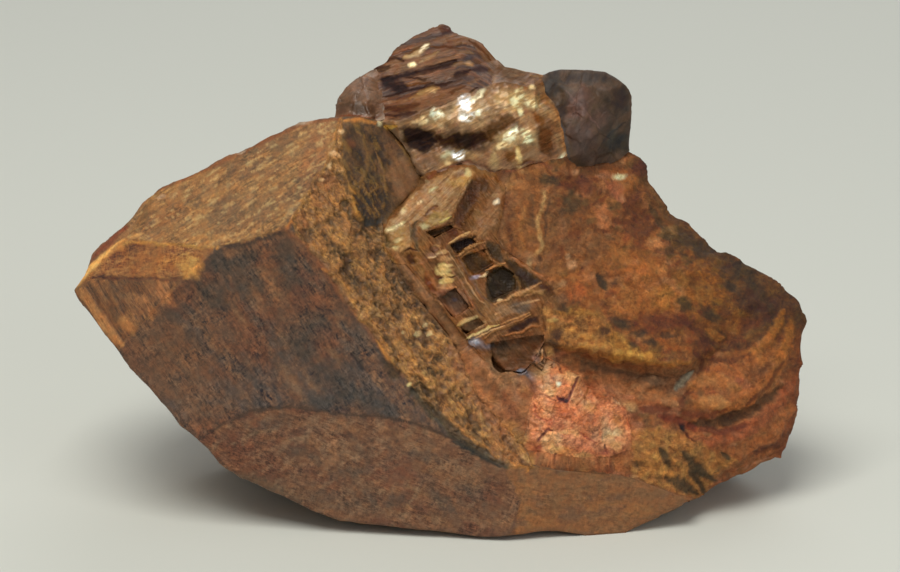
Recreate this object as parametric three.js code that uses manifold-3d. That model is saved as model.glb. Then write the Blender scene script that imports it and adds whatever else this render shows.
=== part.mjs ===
// A columbite specimen: one large tabular columbite crystal grown into iron-stained pegmatite rock, with a book of mica
// and two quartz grains standing along its top, a grain of pink feldspar let into its front, and a small ladder of
// cleavage plates with dark glassy cells in the middle. Millimetres, +Z up, the origin at the bottom centre of its box.
//
// The front of every mineral is given in the face frame: the plane of the crystal's broad front face, which leans back
// LEAN_DEG from upright. Its coordinates are across (to the right), up (along the face) and out (away from the rock).
// Each mineral is its front surface, walls that run back into the specimen, and a back; flat crystal faces then trim it.

import * as THREE from 'three';
import Module from 'manifold-3d';

const wasm = await Module();
wasm.setup();

// ---- driving dimensions (mm, degrees) ----
const LEAN_DEG = 18;            // how far the broad front face leans back
const GAP = 0.3;                // clearance kept between touching minerals
const FLOOR_LEVEL = -25.15;     // height of the flat resting facet, measured from the middle of the face frame
const CRYSTAL_BACK = 35;        // from the front face to the parallel back face of the columbite crystal
const ROCK_BACK = 34;           // from the face plane to the back of the rock
const MICA_BACK = 20.5;         // from the face plane to the back sheet of the mica book
const QUARTZ_SMOKY_BACK = 25;   // from the face plane to the back of the smoky quartz grain
const QUARTZ_PALE_BACK = 20;    // from the face plane to the back of the pale quartz grain
const FELDSPAR_DEPTH = 6.5;     // how deep the pink feldspar grain is let into the rock
const LADDER_DEPTH = 8;         // how deep the ladder of plates is let into the rock
const CELL_DEPTH = 1.3;         // depth of the dark cells
const ORIGIN = [-0.645, 15.337]; // middle of the specimen's box across and front to back

const FACE = {
  columbite_crystal: {
    rim: 113,
    points: [
    [-36.83,-0.39,-7.41],[-36.34,0.2,-7.38],[-35.77,1.07,-7.64],[-35.43,1.96,-8.15],[-35.1,3.04,-8.9],[-34.31,3.92,-8.9],[-33.31,4.8,-8.65],
    [-32.31,5.68,-8.4],[-31.32,6.56,-8.14],[-30.37,8.03,-8.58],[-29.15,9,-8.01],[-28.38,9.69,-8.09],[-27.39,10.07,-7.92],[-26.4,10.46,-7.74],
    [-25.41,10.85,-7.56],[-24.43,11.33,-7.45],[-23.44,11.82,-7.34],[-22.46,12.4,-7.29],[-21.48,12.79,-7.12],[-20.49,13.07,-6.87],[-19.51,13.56,-6.76],
    [-18.53,14.14,-6.72],[-17.55,14.73,-6.67],[-16.57,15.11,-6.5],[-15.59,15.59,-6.38],[-14.62,16.08,-6.28],[-13.63,16.16,-5.9],[-12.65,16.34,-5.59],
    [-11.56,16.42,-5.17],[-10.58,16.41,-4.68],[-9.13,16.41,-4.93],[-7.63,16.18,-5.72],[-6.7,15.73,-6.11],[-5.76,15.18,-6.47],[-4.81,14.13,-6.72],
    [-3.95,12.99,-6.88],[-3.18,11.45,-6.9],[-2.91,10.56,-6.81],[-3.74,9.25,-6],[-4.78,7.99,-5.12],[-5.73,7.21,-4.41],[-6.85,6.17,-3.56],[-6.64,4.2,-3.04],
    [-5.75,2.62,-3.04],[-4.78,0.97,-3.06],[-3.71,-0.48,-3.15],[-2.55,-2.04,-3.25],[-1.39,-3.49,-3.37],[-0.23,-4.94,-3.5],[1.11,-7.04,-3.56],
    [1.78,-9.15,-3.38],[2.57,-10.93,-3.31],[3.76,-12.12,-3.49],[5.21,-13.57,-3.71],[6.46,-15.02,-3.87],[7.22,-16.17,-3.92],[7.82,-17.35,-2.99],
    [10.63,-17.98,-3.58],[13.56,-18.2,-4.3],[16,-18.42,-4.91],[18.43,-19.03,-5.66],[20.4,-19.84,-6.37],[22.39,-20.65,-7.09],[23.42,-21.11,-7.58],
    [22.48,-21.69,-7.51],[21.49,-22.08,-7.44],[20.51,-22.47,-7.36],[19.54,-22.95,-7.33],[18.56,-23.44,-7.29],[17.58,-23.93,-7.25],[16.6,-24.31,-7.17],
    [14.63,-24.59,-6.85],[12.67,-24.26,-6.31],[10.71,-23.94,-5.78],[8.75,-23.92,-5.34],[6.8,-24.19,-5.02],[5.34,-24.37,-4.79],[2.92,-24.49,-5.16],
    [0.97,-24.21,-5.32],[-0.97,-23.92,-5.48],[-2.92,-23.84,-5.71],[-4.87,-23.66,-5.9],[-6.82,-23.37,-6.06],[-8.77,-23.19,-6.25],[-9.74,-23.1,-6.35],
    [-10.72,-22.9,-6.41],[-11.7,-22.61,-6.44],[-12.67,-22.32,-6.48],[-13.65,-21.93,-6.48],[-14.62,-21.44,-6.44],[-15.59,-20.95,-6.41],
    [-16.57,-20.47,-6.38],[-17.54,-20.08,-6.38],[-18.52,-19.59,-6.34],[-19.49,-19.1,-6.31],[-20.46,-18.61,-6.28],[-21.43,-18.02,-6.21],
    [-22.4,-17.44,-6.15],[-23.36,-16.16,-5.86],[-24.31,-15.27,-5.45],[-25.27,-14.39,-5.27],[-26.24,-13.71,-5.25],[-27.2,-12.24,-5.08],
    [-28.36,-11.07,-4.98],[-29.13,-10.1,-4.88],[-30.1,-9.03,-4.78],[-31.07,-8.15,-4.72],[-32.31,-6.31,-4.5],[-33.02,-5.44,-4.96],[-34.05,-4.18,-5.62],
    [-35.08,-2.83,-6.29],[-35.7,-2.15,-6.68],[-36.31,-1.46,-7.07],[-36.13,0.29,-7.24],[-35.13,1.07,-6.96],[-34.15,2.24,-6.89],[-33.18,3.61,-6.92],
    [-32.38,4.29,-6.73],[-31.57,4.68,-6.29],[-29.99,5.55,-6.01],[-29.37,7.22,-6.86],[-10.94,14.62,-3.69],[-11.41,13.15,-2.93],[-12.06,11.68,-2.25],
    [-13.01,10.22,-1.7],[-13.95,8.47,-0.95],[-14.61,7.5,-0.59],[-15.17,6.43,0],[-16.03,5.47,0.06],[-17.29,5.09,-0.23],[-18.06,4.8,-0.38],
    [-19.71,4.33,-0.76],[-20.98,4.04,-1.07],[-22.35,3.76,-1.4],[-29.14,4.27,-4.93],[-26.63,3.97,-3.6],[-24.14,3.86,-2.37],[-23.61,2.79,-1.65],
    [-24.59,1.83,-1.9],[-25.67,0.77,-2.17],[-35.12,0.68,-6.8],[-33.09,0.78,-5.83],[-30.57,0.78,-4.58],[-28.06,0.77,-3.34],[-27.55,-1.06,-2.86],
    [-29.03,-2.81,-3.37],[-30.52,-4.26,-3.88],[-22.92,-13.99,-4.97],[-21.35,-12.9,-4.51],[-19.39,-12.12,-4.08],[-17.43,-11.72,-3.74],[-15.49,-11.71,-3.5],
    [-13.55,-12,-3.32],[-11.61,-12.38,-3.17],[-9.67,-12.67,-3],[-7.73,-12.76,-2.78],[-5.79,-12.75,-2.54],[-3.86,-12.94,-2.34],[-2.41,-13.61,-2.32],
    [-0.96,-14.19,-2.28],[0.48,-14.86,-2.26],[1.93,-15.64,-2.27],[3.38,-16.51,-2.3],[5.12,-17.38,-2.3],[-14.69,4.99,-0.05],[-13.54,3.75,-0.17],
    [-12.78,2.59,-0.3],[-11.72,1.34,-0.43],[-10.96,0.19,-0.56],[-10.2,-1.35,-0.77],[-9.33,-2.31,-0.86],[-8.37,-3.46,-0.98],[-7.41,-4.72,-1.11],
    [-6.55,-5.87,-1.24],[-5.59,-7.13,-1.38],[-4.43,-8.67,-1.54],[-3.28,-10.31,-1.73],[-2.22,-11.86,-1.91],[-1.06,-13.31,-2.06],[0.39,-14.38,-2.12],
    [2.12,-15.44,-2.15],[3.67,-16.41,-2.19],[6.78,-20.72,-3.58],[6.3,-22.69,-4.24],[-8.31,5.6,-2.62],[-9.27,6.76,-2.42],[-9.47,8.5,-2.75],
    [-9.77,10.15,-3],[-10.35,11.9,-3.14],[-10.64,13.16,-3.3],[-10.56,14.72,-3.73],[-12.71,8.28,-1.37],[-11.56,6.17,-1.51],[-10.59,3.66,-1.16],
    [-9.66,7.83,-2.71],[-9.44,1.54,-1.4],[-8.11,2.32,-2.43],[-7.51,-1.35,-1.31],[-5.97,-3.47,-1.64],[-4.82,-6.36,-1.33],[-3.09,-4.25,-2.66],
    [-2.41,-8.29,-1.85],[-0.96,-10.52,-2.17],[-0.19,-7.35,-3.12],[1.54,-12.94,-2.38],[3.87,-14.89,-2.92],[-10.82,10.24,-2.48],[-11.58,8.78,-2.12],
    [-7.54,3.48,-2.81],[-21.22,-0.39,-1.94],[-26.14,-5.23,-3.53],[-20.3,-6.19,-3.01],[-14.46,-4.24,-1.9],[-19.37,-10.07,-3.69],[-26.21,-11.07,-4.72],
    [-11.59,-9.08,-2.53],[-15.4,0.58,-1.03],[-6.76,-11.01,-2.33],[-24.27,7.38,-4.79],[-18.39,9.29,-3.46],[-14.53,12.2,-3.68],[-26.21,5.92,-4.68],
    [-20.29,6.86,-2.68],[-18.46,-15.94,-5.15],[-12.62,-16.89,-4.7],[-4.85,-17.83,-4],[0,-18.79,-3.68],[-14.55,-14.94,-4.32],[-8.72,-15.89,-3.87],
    [-2.91,-20.77,-4.71],[10.68,-20.77,-4.64],[15.58,-21.32,-5.9],[19.5,-20.87,-6.58],[13.63,-22.79,-6],[-7.77,13.21,-4.83],[-6.79,10.29,-4.61],
    [-4.87,11.29,-5.88],[-7.74,7.84,-3.48],
    ],
    faces: [
    [1,0,112],[112,113,1],[140,113,112],[114,140,141],[85,228,224],[111,140,112],[111,110,141],[141,140,111],[2,113,140],[2,140,114],[2,114,3],[1,113,2],
    [64,63,62],[230,58,57],[226,182,163],[233,58,230],[6,5,116],[117,6,116],[141,110,109],[154,228,155],[115,114,141],[3,114,115],[115,4,3],[115,141,116],
    [115,5,4],[116,5,115],[121,28,27],[121,27,26],[26,122,121],[34,33,234],[220,25,24],[26,25,220],[220,122,26],[64,62,65],[65,62,61],[77,182,226],
    [204,52,51],[233,230,73],[210,211,209],[209,137,138],[150,223,227],[91,224,227],[10,120,221],[133,222,218],[133,137,209],[16,15,218],[218,222,16],
    [219,18,17],[17,222,219],[16,222,17],[154,155,217],[93,223,94],[96,223,97],[92,223,93],[227,223,92],[92,91,227],[89,224,90],[90,224,91],[234,31,30],
    [234,33,32],[32,31,234],[121,122,189],[236,35,34],[236,34,234],[236,36,35],[37,36,236],[123,122,220],[220,219,125],[129,216,164],[130,216,129],
    [219,222,129],[129,222,130],[162,226,163],[183,182,77],[163,182,56],[56,182,230],[56,230,57],[72,71,233],[72,233,73],[49,48,203],[199,175,201],
    [203,48,201],[160,179,159],[159,225,226],[159,226,160],[118,117,142],[116,141,142],[142,117,116],[214,211,210],[213,211,214],[214,148,213],
    [210,209,139],[139,209,138],[169,170,197],[197,170,171],[215,172,171],[215,154,217],[213,148,149],[149,150,213],[148,223,149],[149,223,150],
    [9,120,10],[8,120,9],[7,118,8],[7,6,117],[7,117,118],[142,143,134],[134,118,142],[221,120,134],[136,218,221],[133,218,136],[136,137,133],
    [138,137,136],[209,216,131],[131,216,130],[130,222,131],[218,15,14],[13,218,14],[11,10,221],[221,218,12],[12,218,13],[11,221,12],[217,155,156],
    [155,228,156],[156,228,225],[156,225,157],[176,175,217],[201,175,176],[156,157,176],[176,217,156],[174,175,199],[217,175,174],[95,223,96],[94,223,95],
    [147,223,148],[97,223,147],[147,148,214],[86,85,224],[86,224,87],[88,224,89],[87,224,88],[29,28,121],[220,24,23],[22,220,23],[19,18,219],[21,219,220],
    [21,220,22],[123,220,124],[124,220,125],[124,206,123],[38,37,236],[38,236,235],[235,39,38],[236,234,235],[235,234,187],[187,206,186],[186,237,235],
    [235,187,186],[188,234,189],[187,234,188],[188,206,187],[123,206,188],[189,122,188],[188,122,123],[194,237,186],[200,47,46],[200,48,47],[201,48,200],
    [200,199,201],[160,226,161],[161,226,162],[181,163,54],[162,163,181],[76,75,183],[183,77,76],[73,230,74],[230,182,74],[74,182,183],[183,75,74],
    [226,225,229],[79,226,229],[229,80,79],[54,163,55],[55,163,56],[157,225,158],[158,225,159],[171,172,198],[197,171,198],[198,199,200],[198,45,197],
    [46,45,198],[200,46,198],[212,211,213],[212,216,209],[209,211,212],[212,170,169],[171,170,212],[215,171,212],[135,143,139],[134,143,135],
    [139,138,135],[135,138,136],[135,221,134],[136,221,135],[8,118,119],[119,118,134],[119,120,8],[134,120,119],[133,209,132],[132,209,131],[132,222,133],
    [131,222,132],[49,203,50],[215,217,173],[173,217,174],[173,172,215],[174,199,173],[198,172,173],[173,199,198],[147,99,98],[98,97,147],[100,99,147],
    [147,214,100],[29,121,190],[190,30,29],[190,234,30],[190,121,189],[189,234,190],[19,219,20],[20,219,21],[125,219,126],[126,219,127],[127,164,126],
    [128,219,129],[127,219,128],[129,164,128],[128,164,127],[40,237,41],[235,237,40],[40,39,235],[43,42,208],[197,45,44],[184,193,208],[41,237,184],
    [184,42,41],[208,42,184],[166,216,167],[167,193,166],[231,60,59],[231,69,68],[59,58,231],[231,58,233],[231,70,69],[233,71,231],[231,71,70],
    [205,162,181],[181,54,205],[205,54,53],[205,52,204],[53,52,205],[229,225,82],[77,226,78],[78,226,79],[176,157,177],[177,157,158],[144,210,139],
    [145,210,144],[139,143,144],[144,143,142],[144,142,145],[142,141,146],[145,142,146],[146,141,109],[146,109,108],[146,108,107],[107,106,146],
    [146,106,210],[146,210,145],[214,210,104],[103,214,104],[153,154,215],[153,215,152],[152,227,153],[227,224,153],[224,228,153],[153,228,154],
    [151,150,227],[151,227,152],[152,215,151],[151,215,212],[213,150,151],[212,213,151],[102,214,103],[191,125,126],[124,125,191],[195,193,167],
    [195,169,197],[185,193,184],[185,237,194],[184,237,185],[161,162,180],[180,162,205],[205,204,180],[204,179,180],[180,179,160],[180,160,161],
    [84,228,85],[81,80,229],[81,229,82],[158,159,178],[177,158,178],[178,179,204],[159,179,178],[202,201,176],[202,176,177],[202,203,201],[50,203,202],
    [204,51,202],[202,51,50],[178,204,202],[202,177,178],[210,106,105],[104,210,105],[100,214,101],[101,214,102],[207,206,124],[207,124,191],
    [186,206,207],[194,186,207],[166,193,165],[164,216,165],[165,216,166],[208,193,196],[196,193,195],[196,43,208],[195,197,196],[196,197,44],[44,43,196],
    [168,169,195],[195,167,168],[167,216,168],[168,216,212],[212,169,168],[185,194,192],[192,194,207],[207,191,192],[192,193,185],[165,193,192],
    [192,164,165],[126,164,192],[191,126,192],[65,61,232],[61,60,232],[232,68,67],[232,60,231],[231,68,232],[82,225,83],[225,228,83],[83,228,84],
    [66,65,232],[232,67,66],
    ],
  },
  matrix_rock: {
    rim: 87,
    points: [
    [23.74,-20.93,-7.68],[22.52,-20.35,-7.19],[20.53,-19.54,-6.47],[18.54,-18.72,-5.76],[16.05,-18.1,-5.01],[13.59,-17.88,-4.4],[10.68,-17.66,-3.68],
    [8.04,-17.07,-3.09],[7.51,-16.01,-4.02],[6.72,-14.82,-3.97],[5.45,-13.35,-3.81],[3.99,-11.89,-3.59],[2.85,-10.74,-3.41],[2.09,-9.04,-3.48],
    [1.41,-6.9,-3.66],[0.04,-4.75,-3.6],[-1.13,-3.29,-3.47],[-2.29,-1.83,-3.35],[-3.45,-0.29,-3.25],[-4.5,1.15,-3.16],[-5.47,2.79,-3.14],
    [-6.32,4.31,-3.13],[-6.51,6.04,-3.66],[-5.52,6.96,-4.51],[-4.55,7.75,-5.22],[-3.47,9.06,-6.1],[-2.6,10.44,-6.91],[-1.86,11.35,-6.2],
    [-0.44,11.63,-6.4],[0.79,12.11,-6.6],[1.9,11.84,-6.7],[3.37,11.35,-6.8],[4.87,11.06,-7],[6.39,11.16,-7.2],[7.87,11.86,-7.6],[9.31,12.06,-8],
    [10.57,12.17,-8.4],[11.51,12.11,-9.4],[12.33,11.42,-10],[14.11,11.66,-11],[15.86,11.98,-12],[17.11,12.72,-12.6],[17.84,13.36,-13.4],
    [18.86,12.91,-14.4],[19.67,11.72,-14.6],[19.87,10.53,-14.6],[20.87,9.04,-14.8],[21.37,8.35,-14.9],[21.87,7.56,-15],[22.88,6.86,-15.2],
    [23.89,6.37,-15.4],[24.58,5.57,-15.4],[25.18,4.98,-15.4],[25.87,4.28,-15.3],[26.66,3.68,-15.2],[27.85,3.48,-15.2],[28.85,2.88,-15.2],
    [29.64,2.19,-15.2],[30.53,1.59,-15.1],[31.63,0.99,-15.1],[32.63,0.4,-15.2],[33.32,-0.4,-15.2],[34.02,-0.99,-15.2],[34.62,-1.69,-15.2],
    [35.11,-2.39,-15.2],[35.51,-2.98,-15.2],[35.09,-3.98,-14.9],[34.78,-4.87,-14.7],[34.77,-5.86,-14.6],[34.85,-6.85,-14.4],[35.16,-7.65,-14.6],
    [34.97,-8.84,-14.6],[34.85,-10.33,-14.4],[34.64,-11.31,-14.2],[34.43,-12.3,-14.1],[34.12,-13.49,-13.9],[33.71,-14.77,-13.8],[33.41,-15.77,-13.8],
    [32.92,-17.25,-13.8],[31.68,-17.13,-13.2],[30.88,-17.52,-13],[30.17,-18,-12.8],[28.66,-18.78,-12.4],[27.65,-19.26,-12.1],[26.64,-19.54,-11.7],
    [25.63,-20.01,-11.3],[24.82,-20.68,-10.9],[2.92,10.33,-6.2],[6.82,9.36,-6.5],[8.76,6.42,-5.9],[10.75,9.87,-7.4],[14.74,10.42,-10],[18.8,11.28,-13],
    [16.72,8.46,-10.2],[12.89,7.42,-7.4],[20.31,7.83,-13.4],[17.9,6,-10.2],[14.64,4,-7.1],[10.9,3.5,-5.7],[19.85,4.03,-10],[23.79,4.26,-13.6],
    [21.58,1.57,-9.2],[16.57,0.58,-6.5],[12.84,0.39,-5.4],[9.52,-0.1,-4.9],[24.66,1.38,-11.6],[28.53,0.59,-13.4],[30.88,-1.39,-13],[33,-2.58,-13.6],
    [9.22,-2.52,-4.5],[11.64,-3.1,-4.5],[14.57,-3.5,-4.9],[17.71,-3.89,-5.7],[20.5,-4.1,-7],[23.53,-3.33,-9],[26.77,-3.15,-10.6],[9.88,-5.04,-4],
    [12.11,-5.81,-3.9],[14.35,-6.2,-4.1],[16.5,-6.5,-4.5],[18.65,-6.99,-5],[20.93,-7.5,-5.9],[23.44,-7.33,-7.3],[24.89,-6.47,-8.7],[12.65,-6.91,-5.7],
    [14.92,-7.51,-6.6],[17.39,-8.11,-7.4],[20.05,-8.61,-8],[22.53,-8.62,-8.6],[24.54,-7.75,-9.4],[14.43,-8.97,-6.6],[17.1,-9.48,-7.6],[20.06,-9.98,-8.2],
    [22.82,-9.79,-8.4],[15.76,-10.31,-5.7],[18.5,-10.71,-6],[21.26,-11.31,-6.6],[24.45,-11.15,-7.8],[26.79,-5.81,-10.9],[29.13,-4.34,-12],
    [31.63,-4.35,-12.5],[33.7,-4.36,-13.6],[32.84,-6.82,-12.7],[30.53,-7.49,-10.9],[28.47,-9.23,-9.5],[26.24,-11.16,-8.3],[29.28,-10.71,-9.9],
    [32.11,-9.09,-12.2],[33.66,-10.1,-13.1],[30.75,-11.73,-11.2],[27.72,-12.78,-10],[24.7,-13.72,-8.9],[22.5,-13.11,-7.9],[33.25,-12.27,-12.9],
    [31.02,-13.99,-10.9],[28.26,-15.11,-9.3],[25.04,-15.65,-8],[21.64,-15.6,-6.5],[18.86,-14.97,-5.3],[20.46,-13.25,-6.3],[18.48,-12.84,-5.6],
    [31.62,-16.01,-12.3],[28.75,-17.13,-10.8],[25.73,-18.26,-9.6],[22.69,-18.58,-7.9],[19.98,-17.93,-6.4],[16.71,-17.3,-5.1],[13.77,-17.17,-4.3],
    [10.85,-17.05,-3.9],[7.74,-10.26,-3.4],[6.77,-12,-3.4],[17.32,-11.09,-5.6],[17.79,-13.8,-5.2],[9.21,-5.72,-4],[4.84,-9.58,-3.3],[3.39,-7.64,-3.3],
    [6,-10.54,-3.2],[-4.83,5.22,-2.9],[-4.64,3,-2.9],[-2.42,-0.19,-3],[0,-3.09,-3],[1.93,-5.8,-3.1],
    ],
    faces: [
    [104,89,179],[14,181,15],[170,176,11],[104,179,180],[15,181,180],[173,181,175],[175,181,14],[175,14,13],[109,181,173],[180,181,109],[109,104,180],
    [143,139,138],[102,111,112],[112,113,102],[97,102,99],[102,113,101],[99,102,101],[105,100,101],[101,100,99],[38,94,91],[50,100,51],[90,89,94],
    [90,94,38],[103,102,97],[103,111,102],[137,152,151],[157,156,151],[151,152,157],[151,156,155],[148,147,149],[71,147,148],[148,72,71],[149,154,153],
    [148,149,153],[144,147,143],[138,129,144],[144,143,138],[161,154,155],[76,154,161],[77,76,161],[79,78,161],[161,78,77],[180,179,17],[23,22,177],
    [177,22,21],[174,173,175],[11,176,174],[12,11,174],[175,13,174],[174,13,12],[143,147,142],[70,69,142],[142,147,71],[142,71,70],[101,113,114],
    [114,105,101],[64,63,108],[54,105,106],[118,111,117],[51,100,52],[39,38,91],[93,94,97],[91,94,93],[179,89,87],[87,25,177],[88,89,90],[87,89,88],
    [103,97,98],[94,89,98],[97,94,98],[98,89,104],[98,104,103],[151,155,150],[150,154,149],[155,154,150],[117,173,124],[118,117,124],[109,173,116],
    [116,173,117],[10,170,11],[128,129,122],[114,113,122],[136,152,137],[168,170,8],[8,7,168],[5,167,168],[75,154,76],[153,154,75],[73,72,148],
    [73,148,153],[149,147,146],[146,147,144],[150,149,146],[80,79,161],[16,15,180],[16,180,17],[24,23,177],[177,25,24],[21,20,178],[177,21,178],
    [178,20,19],[19,179,178],[178,179,87],[87,177,178],[26,28,27],[26,25,87],[87,28,26],[66,65,64],[66,64,108],[142,69,68],[138,139,115],[114,138,115],
    [115,139,107],[115,107,106],[115,105,114],[106,105,115],[59,107,60],[60,107,61],[61,107,108],[140,139,143],[140,143,142],[107,139,140],[108,107,140],
    [106,57,56],[52,100,53],[53,100,105],[53,105,54],[39,91,40],[40,91,93],[93,92,40],[45,92,93],[44,92,45],[48,99,49],[99,100,49],[49,100,50],[96,97,99],
    [93,97,96],[35,90,36],[88,90,34],[34,90,35],[34,33,88],[164,156,157],[163,156,164],[157,165,164],[164,0,86],[164,86,85],[85,163,164],[83,82,162],
    [163,83,162],[162,82,81],[155,156,162],[162,156,163],[162,81,80],[161,155,162],[80,161,162],[158,165,157],[134,167,172],[134,130,168],[168,167,134],
    [145,129,137],[144,129,145],[145,137,151],[145,151,150],[146,144,145],[145,150,146],[110,109,116],[116,117,110],[117,111,110],[110,111,103],
    [110,104,109],[103,104,110],[8,170,9],[9,170,10],[123,138,114],[123,114,122],[123,129,138],[122,129,123],[120,113,112],[120,126,127],[112,111,119],
    [119,111,118],[120,112,119],[119,126,120],[136,137,133],[137,129,133],[133,129,128],[169,170,168],[168,130,169],[169,130,124],[124,173,169],
    [169,176,170],[174,176,169],[169,173,174],[168,7,6],[6,5,168],[74,153,75],[73,153,74],[17,179,18],[18,179,19],[106,107,58],[58,107,59],[58,57,106],
    [108,63,62],[61,108,62],[141,108,140],[141,67,66],[66,108,141],[140,142,141],[68,67,141],[141,142,68],[55,54,106],[55,106,56],[43,92,44],[40,92,41],
    [43,42,41],[41,92,43],[95,99,48],[96,99,95],[95,93,96],[95,46,45],[45,93,95],[31,87,32],[88,33,32],[32,87,88],[90,38,37],[36,90,37],[30,87,31],
    [30,29,28],[30,28,87],[84,83,163],[84,163,85],[164,165,2],[2,165,3],[172,167,166],[158,172,166],[166,165,158],[3,165,166],[157,152,159],[158,157,159],
    [159,152,136],[134,172,171],[121,113,120],[120,127,121],[122,113,121],[121,128,122],[127,128,121],[125,126,119],[119,118,125],[124,130,125],
    [125,118,124],[132,136,133],[132,135,136],[127,135,132],[132,128,127],[133,128,132],[47,46,95],[95,48,47],[1,0,164],[1,164,2],[4,167,5],[166,167,4],
    [4,3,166],[136,135,160],[159,136,160],[160,135,171],[171,172,160],[160,172,158],[160,158,159],[131,134,171],[131,130,134],[171,135,131],[125,130,131],
    [131,126,125],[131,135,127],[127,126,131],
    ],
  },
  mica_book: {
    rim: 49,
    points: [
    [-6.32,20.67,-9.5],[-6.09,22.21,-10],[-5.7,22.91,-10.2],[-5.21,23.51,-10.4],[-4.43,24.02,-10.6],[-3.74,24.52,-10.8],[-2.96,24.92,-11],
    [-1.97,25.33,-11.2],[-1.28,25.63,-11.3],[-0.69,25.84,-11.4],[-0.2,25.64,-11.4],[0.3,25.14,-11.4],[0.79,24.74,-11.3],[1.48,24.55,-11.3],
    [2.46,24.25,-11.2],[3.25,23.85,-11.2],[3.94,23.05,-11],[4.63,22.26,-10.9],[5.42,21.57,-10.8],[6.4,21.37,-10.8],[7.38,21.07,-10.8],[8.17,20.97,-10.8],
    [8.81,20.73,-10.8],[8.89,19.85,-10.6],[9.19,18.69,-10.2],[10.17,17.69,-9.8],[10.64,16.44,-9.4],[10.92,15.07,-9.1],[11.21,13.7,-8.9],
    [11.29,12.59,-8.7],[10.55,12.5,-8.2],[9.27,12.39,-7.8],[7.77,12.18,-7.4],[6.3,11.48,-7],[4.89,11.39,-6.8],[3.46,11.67,-6.6],[2,12.15,-6.5],
    [0.77,12.45,-6.4],[-0.53,11.95,-6.2],[-2,11.65,-6.1],[-2.66,11.32,-6.1],[-2.97,11.86,-5.9],[-3.65,13.13,-5.7],[-4.54,14.31,-5.6],[-5.53,15.39,-5.5],
    [-6.25,15.94,-5.6],[-6.28,17.19,-7],[-6.49,18.41,-8],[-6.6,19.59,-8.9],[-4.86,16.03,-5],[-3.4,16.61,-5],[-1.94,17.1,-5.1],[-0.49,17.69,-5.3],
    [0.97,18.39,-5.6],[2.43,18.99,-6],[3.61,19.59,-6.5],[-4.88,18.37,-7.4],[-2.93,19.16,-7.6],[-0.49,20.35,-8],[1.96,21.55,-8.5],[-4.9,20.98,-8.9],
    [-2.45,22.37,-9.2],[0,23.58,-9.9],[5.37,19.92,-7.2],[6.84,19.64,-7.4],[8.32,19.18,-8.2],[-3.41,14.23,-6.3],[-1.46,14.04,-6.5],[0.49,15.65,-5.2],
    [2.43,16.62,-5.3],[4.38,17.32,-5.7],[6.33,17.62,-6],[8.3,16.98,-7],[9.58,15.74,-7.6],[0.97,13.73,-6],[2.92,14.23,-6.4],[4.87,14.69,-5.7],
    [6.61,14.97,-5.4],[8.28,14.7,-5.9],[9.97,13.29,-7.6],[4.87,12.76,-6.2],[6.81,13.04,-5.9],[-1.46,12.47,-6.2],
    ],
    faces: [
    [51,50,67],[51,67,68],[6,5,61],[61,58,62],[52,51,68],[68,67,74],[4,3,61],[61,5,4],[60,3,2],[61,3,60],[2,1,60],[7,6,61],[7,61,62],[62,8,7],[18,63,19],
    [76,77,70],[70,77,71],[70,69,76],[54,69,70],[71,63,70],[53,58,52],[53,69,54],[68,69,53],[52,68,53],[74,37,36],[35,34,80],[80,34,33],[38,67,82],
    [74,67,38],[38,37,74],[41,40,39],[82,41,39],[38,82,39],[75,69,68],[75,68,74],[76,69,75],[75,74,36],[80,76,75],[36,35,75],[75,35,80],[82,67,42],
    [42,41,82],[46,45,49],[0,48,60],[60,1,0],[56,48,47],[60,48,56],[47,46,56],[49,50,56],[56,46,49],[11,8,62],[27,79,28],[78,32,31],[31,79,78],[19,63,64],
    [64,63,71],[55,63,18],[70,63,55],[55,54,70],[33,32,81],[80,33,81],[78,77,81],[81,32,78],[81,77,76],[81,76,80],[42,67,66],[66,43,42],[67,50,66],
    [66,50,49],[49,43,66],[49,45,44],[44,43,49],[57,60,56],[57,58,61],[57,61,60],[52,58,57],[57,51,52],[57,50,51],[56,50,57],[12,62,13],[11,62,12],
    [30,79,31],[30,29,28],[28,79,30],[71,77,72],[72,77,78],[25,24,72],[20,19,64],[64,21,20],[64,71,65],[65,71,72],[72,24,65],[65,21,64],[59,54,55],
    [62,58,59],[59,58,53],[53,54,59],[59,16,15],[15,14,59],[13,62,59],[14,13,59],[55,18,17],[17,16,59],[59,55,17],[10,9,8],[10,8,11],[72,78,73],
    [27,26,73],[73,26,25],[73,25,72],[73,79,27],[78,79,73],[23,22,21],[23,21,65],[65,24,23],
    ],
  },
  quartz_smoky: {
    rim: 24,
    points: [
    [9.25,20.68,-11],[9.96,21.21,-11.6],[10.86,21.43,-12],[12.35,21.45,-12.4],[13.84,21.36,-12.6],[15.33,21.27,-12.8],[16.03,20.88,-12.9],
    [16.82,20.39,-13],[17.53,19.8,-13.2],[17.95,18.94,-13.8],[18.05,17.46,-14],[17.95,15.97,-13.9],[17.84,14.77,-13.6],[17.55,13.63,-13],
    [16.9,12.98,-12.4],[15.73,12.3,-11.8],[14.06,11.98,-10.8],[12.44,11.77,-9.9],[11.74,12.45,-9.4],[11.54,13.76,-9.2],[11.25,15.15,-9.4],
    [10.96,16.55,-9.7],[10.46,17.88,-10],[9.51,18.87,-10.5],[11.01,19.66,-10],[13.07,19.85,-9.9],[15.16,19.09,-10.6],[16.58,17.17,-11.8],
    [15.33,16.51,-9.9],[13.23,17.44,-8.7],[11.96,17.84,-8.9],[13.71,14.5,-8.6],[15.54,13.96,-10.2],[12.24,14.78,-8.3],[12.74,12.84,-8.9],
    ],
    faces: [
    [33,29,21],[26,29,28],[8,7,26],[26,9,8],[32,15,14],[14,13,32],[24,3,2],[24,0,23],[26,28,27],[11,10,27],[27,28,11],[27,10,9],[27,9,26],[32,28,31],
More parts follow.
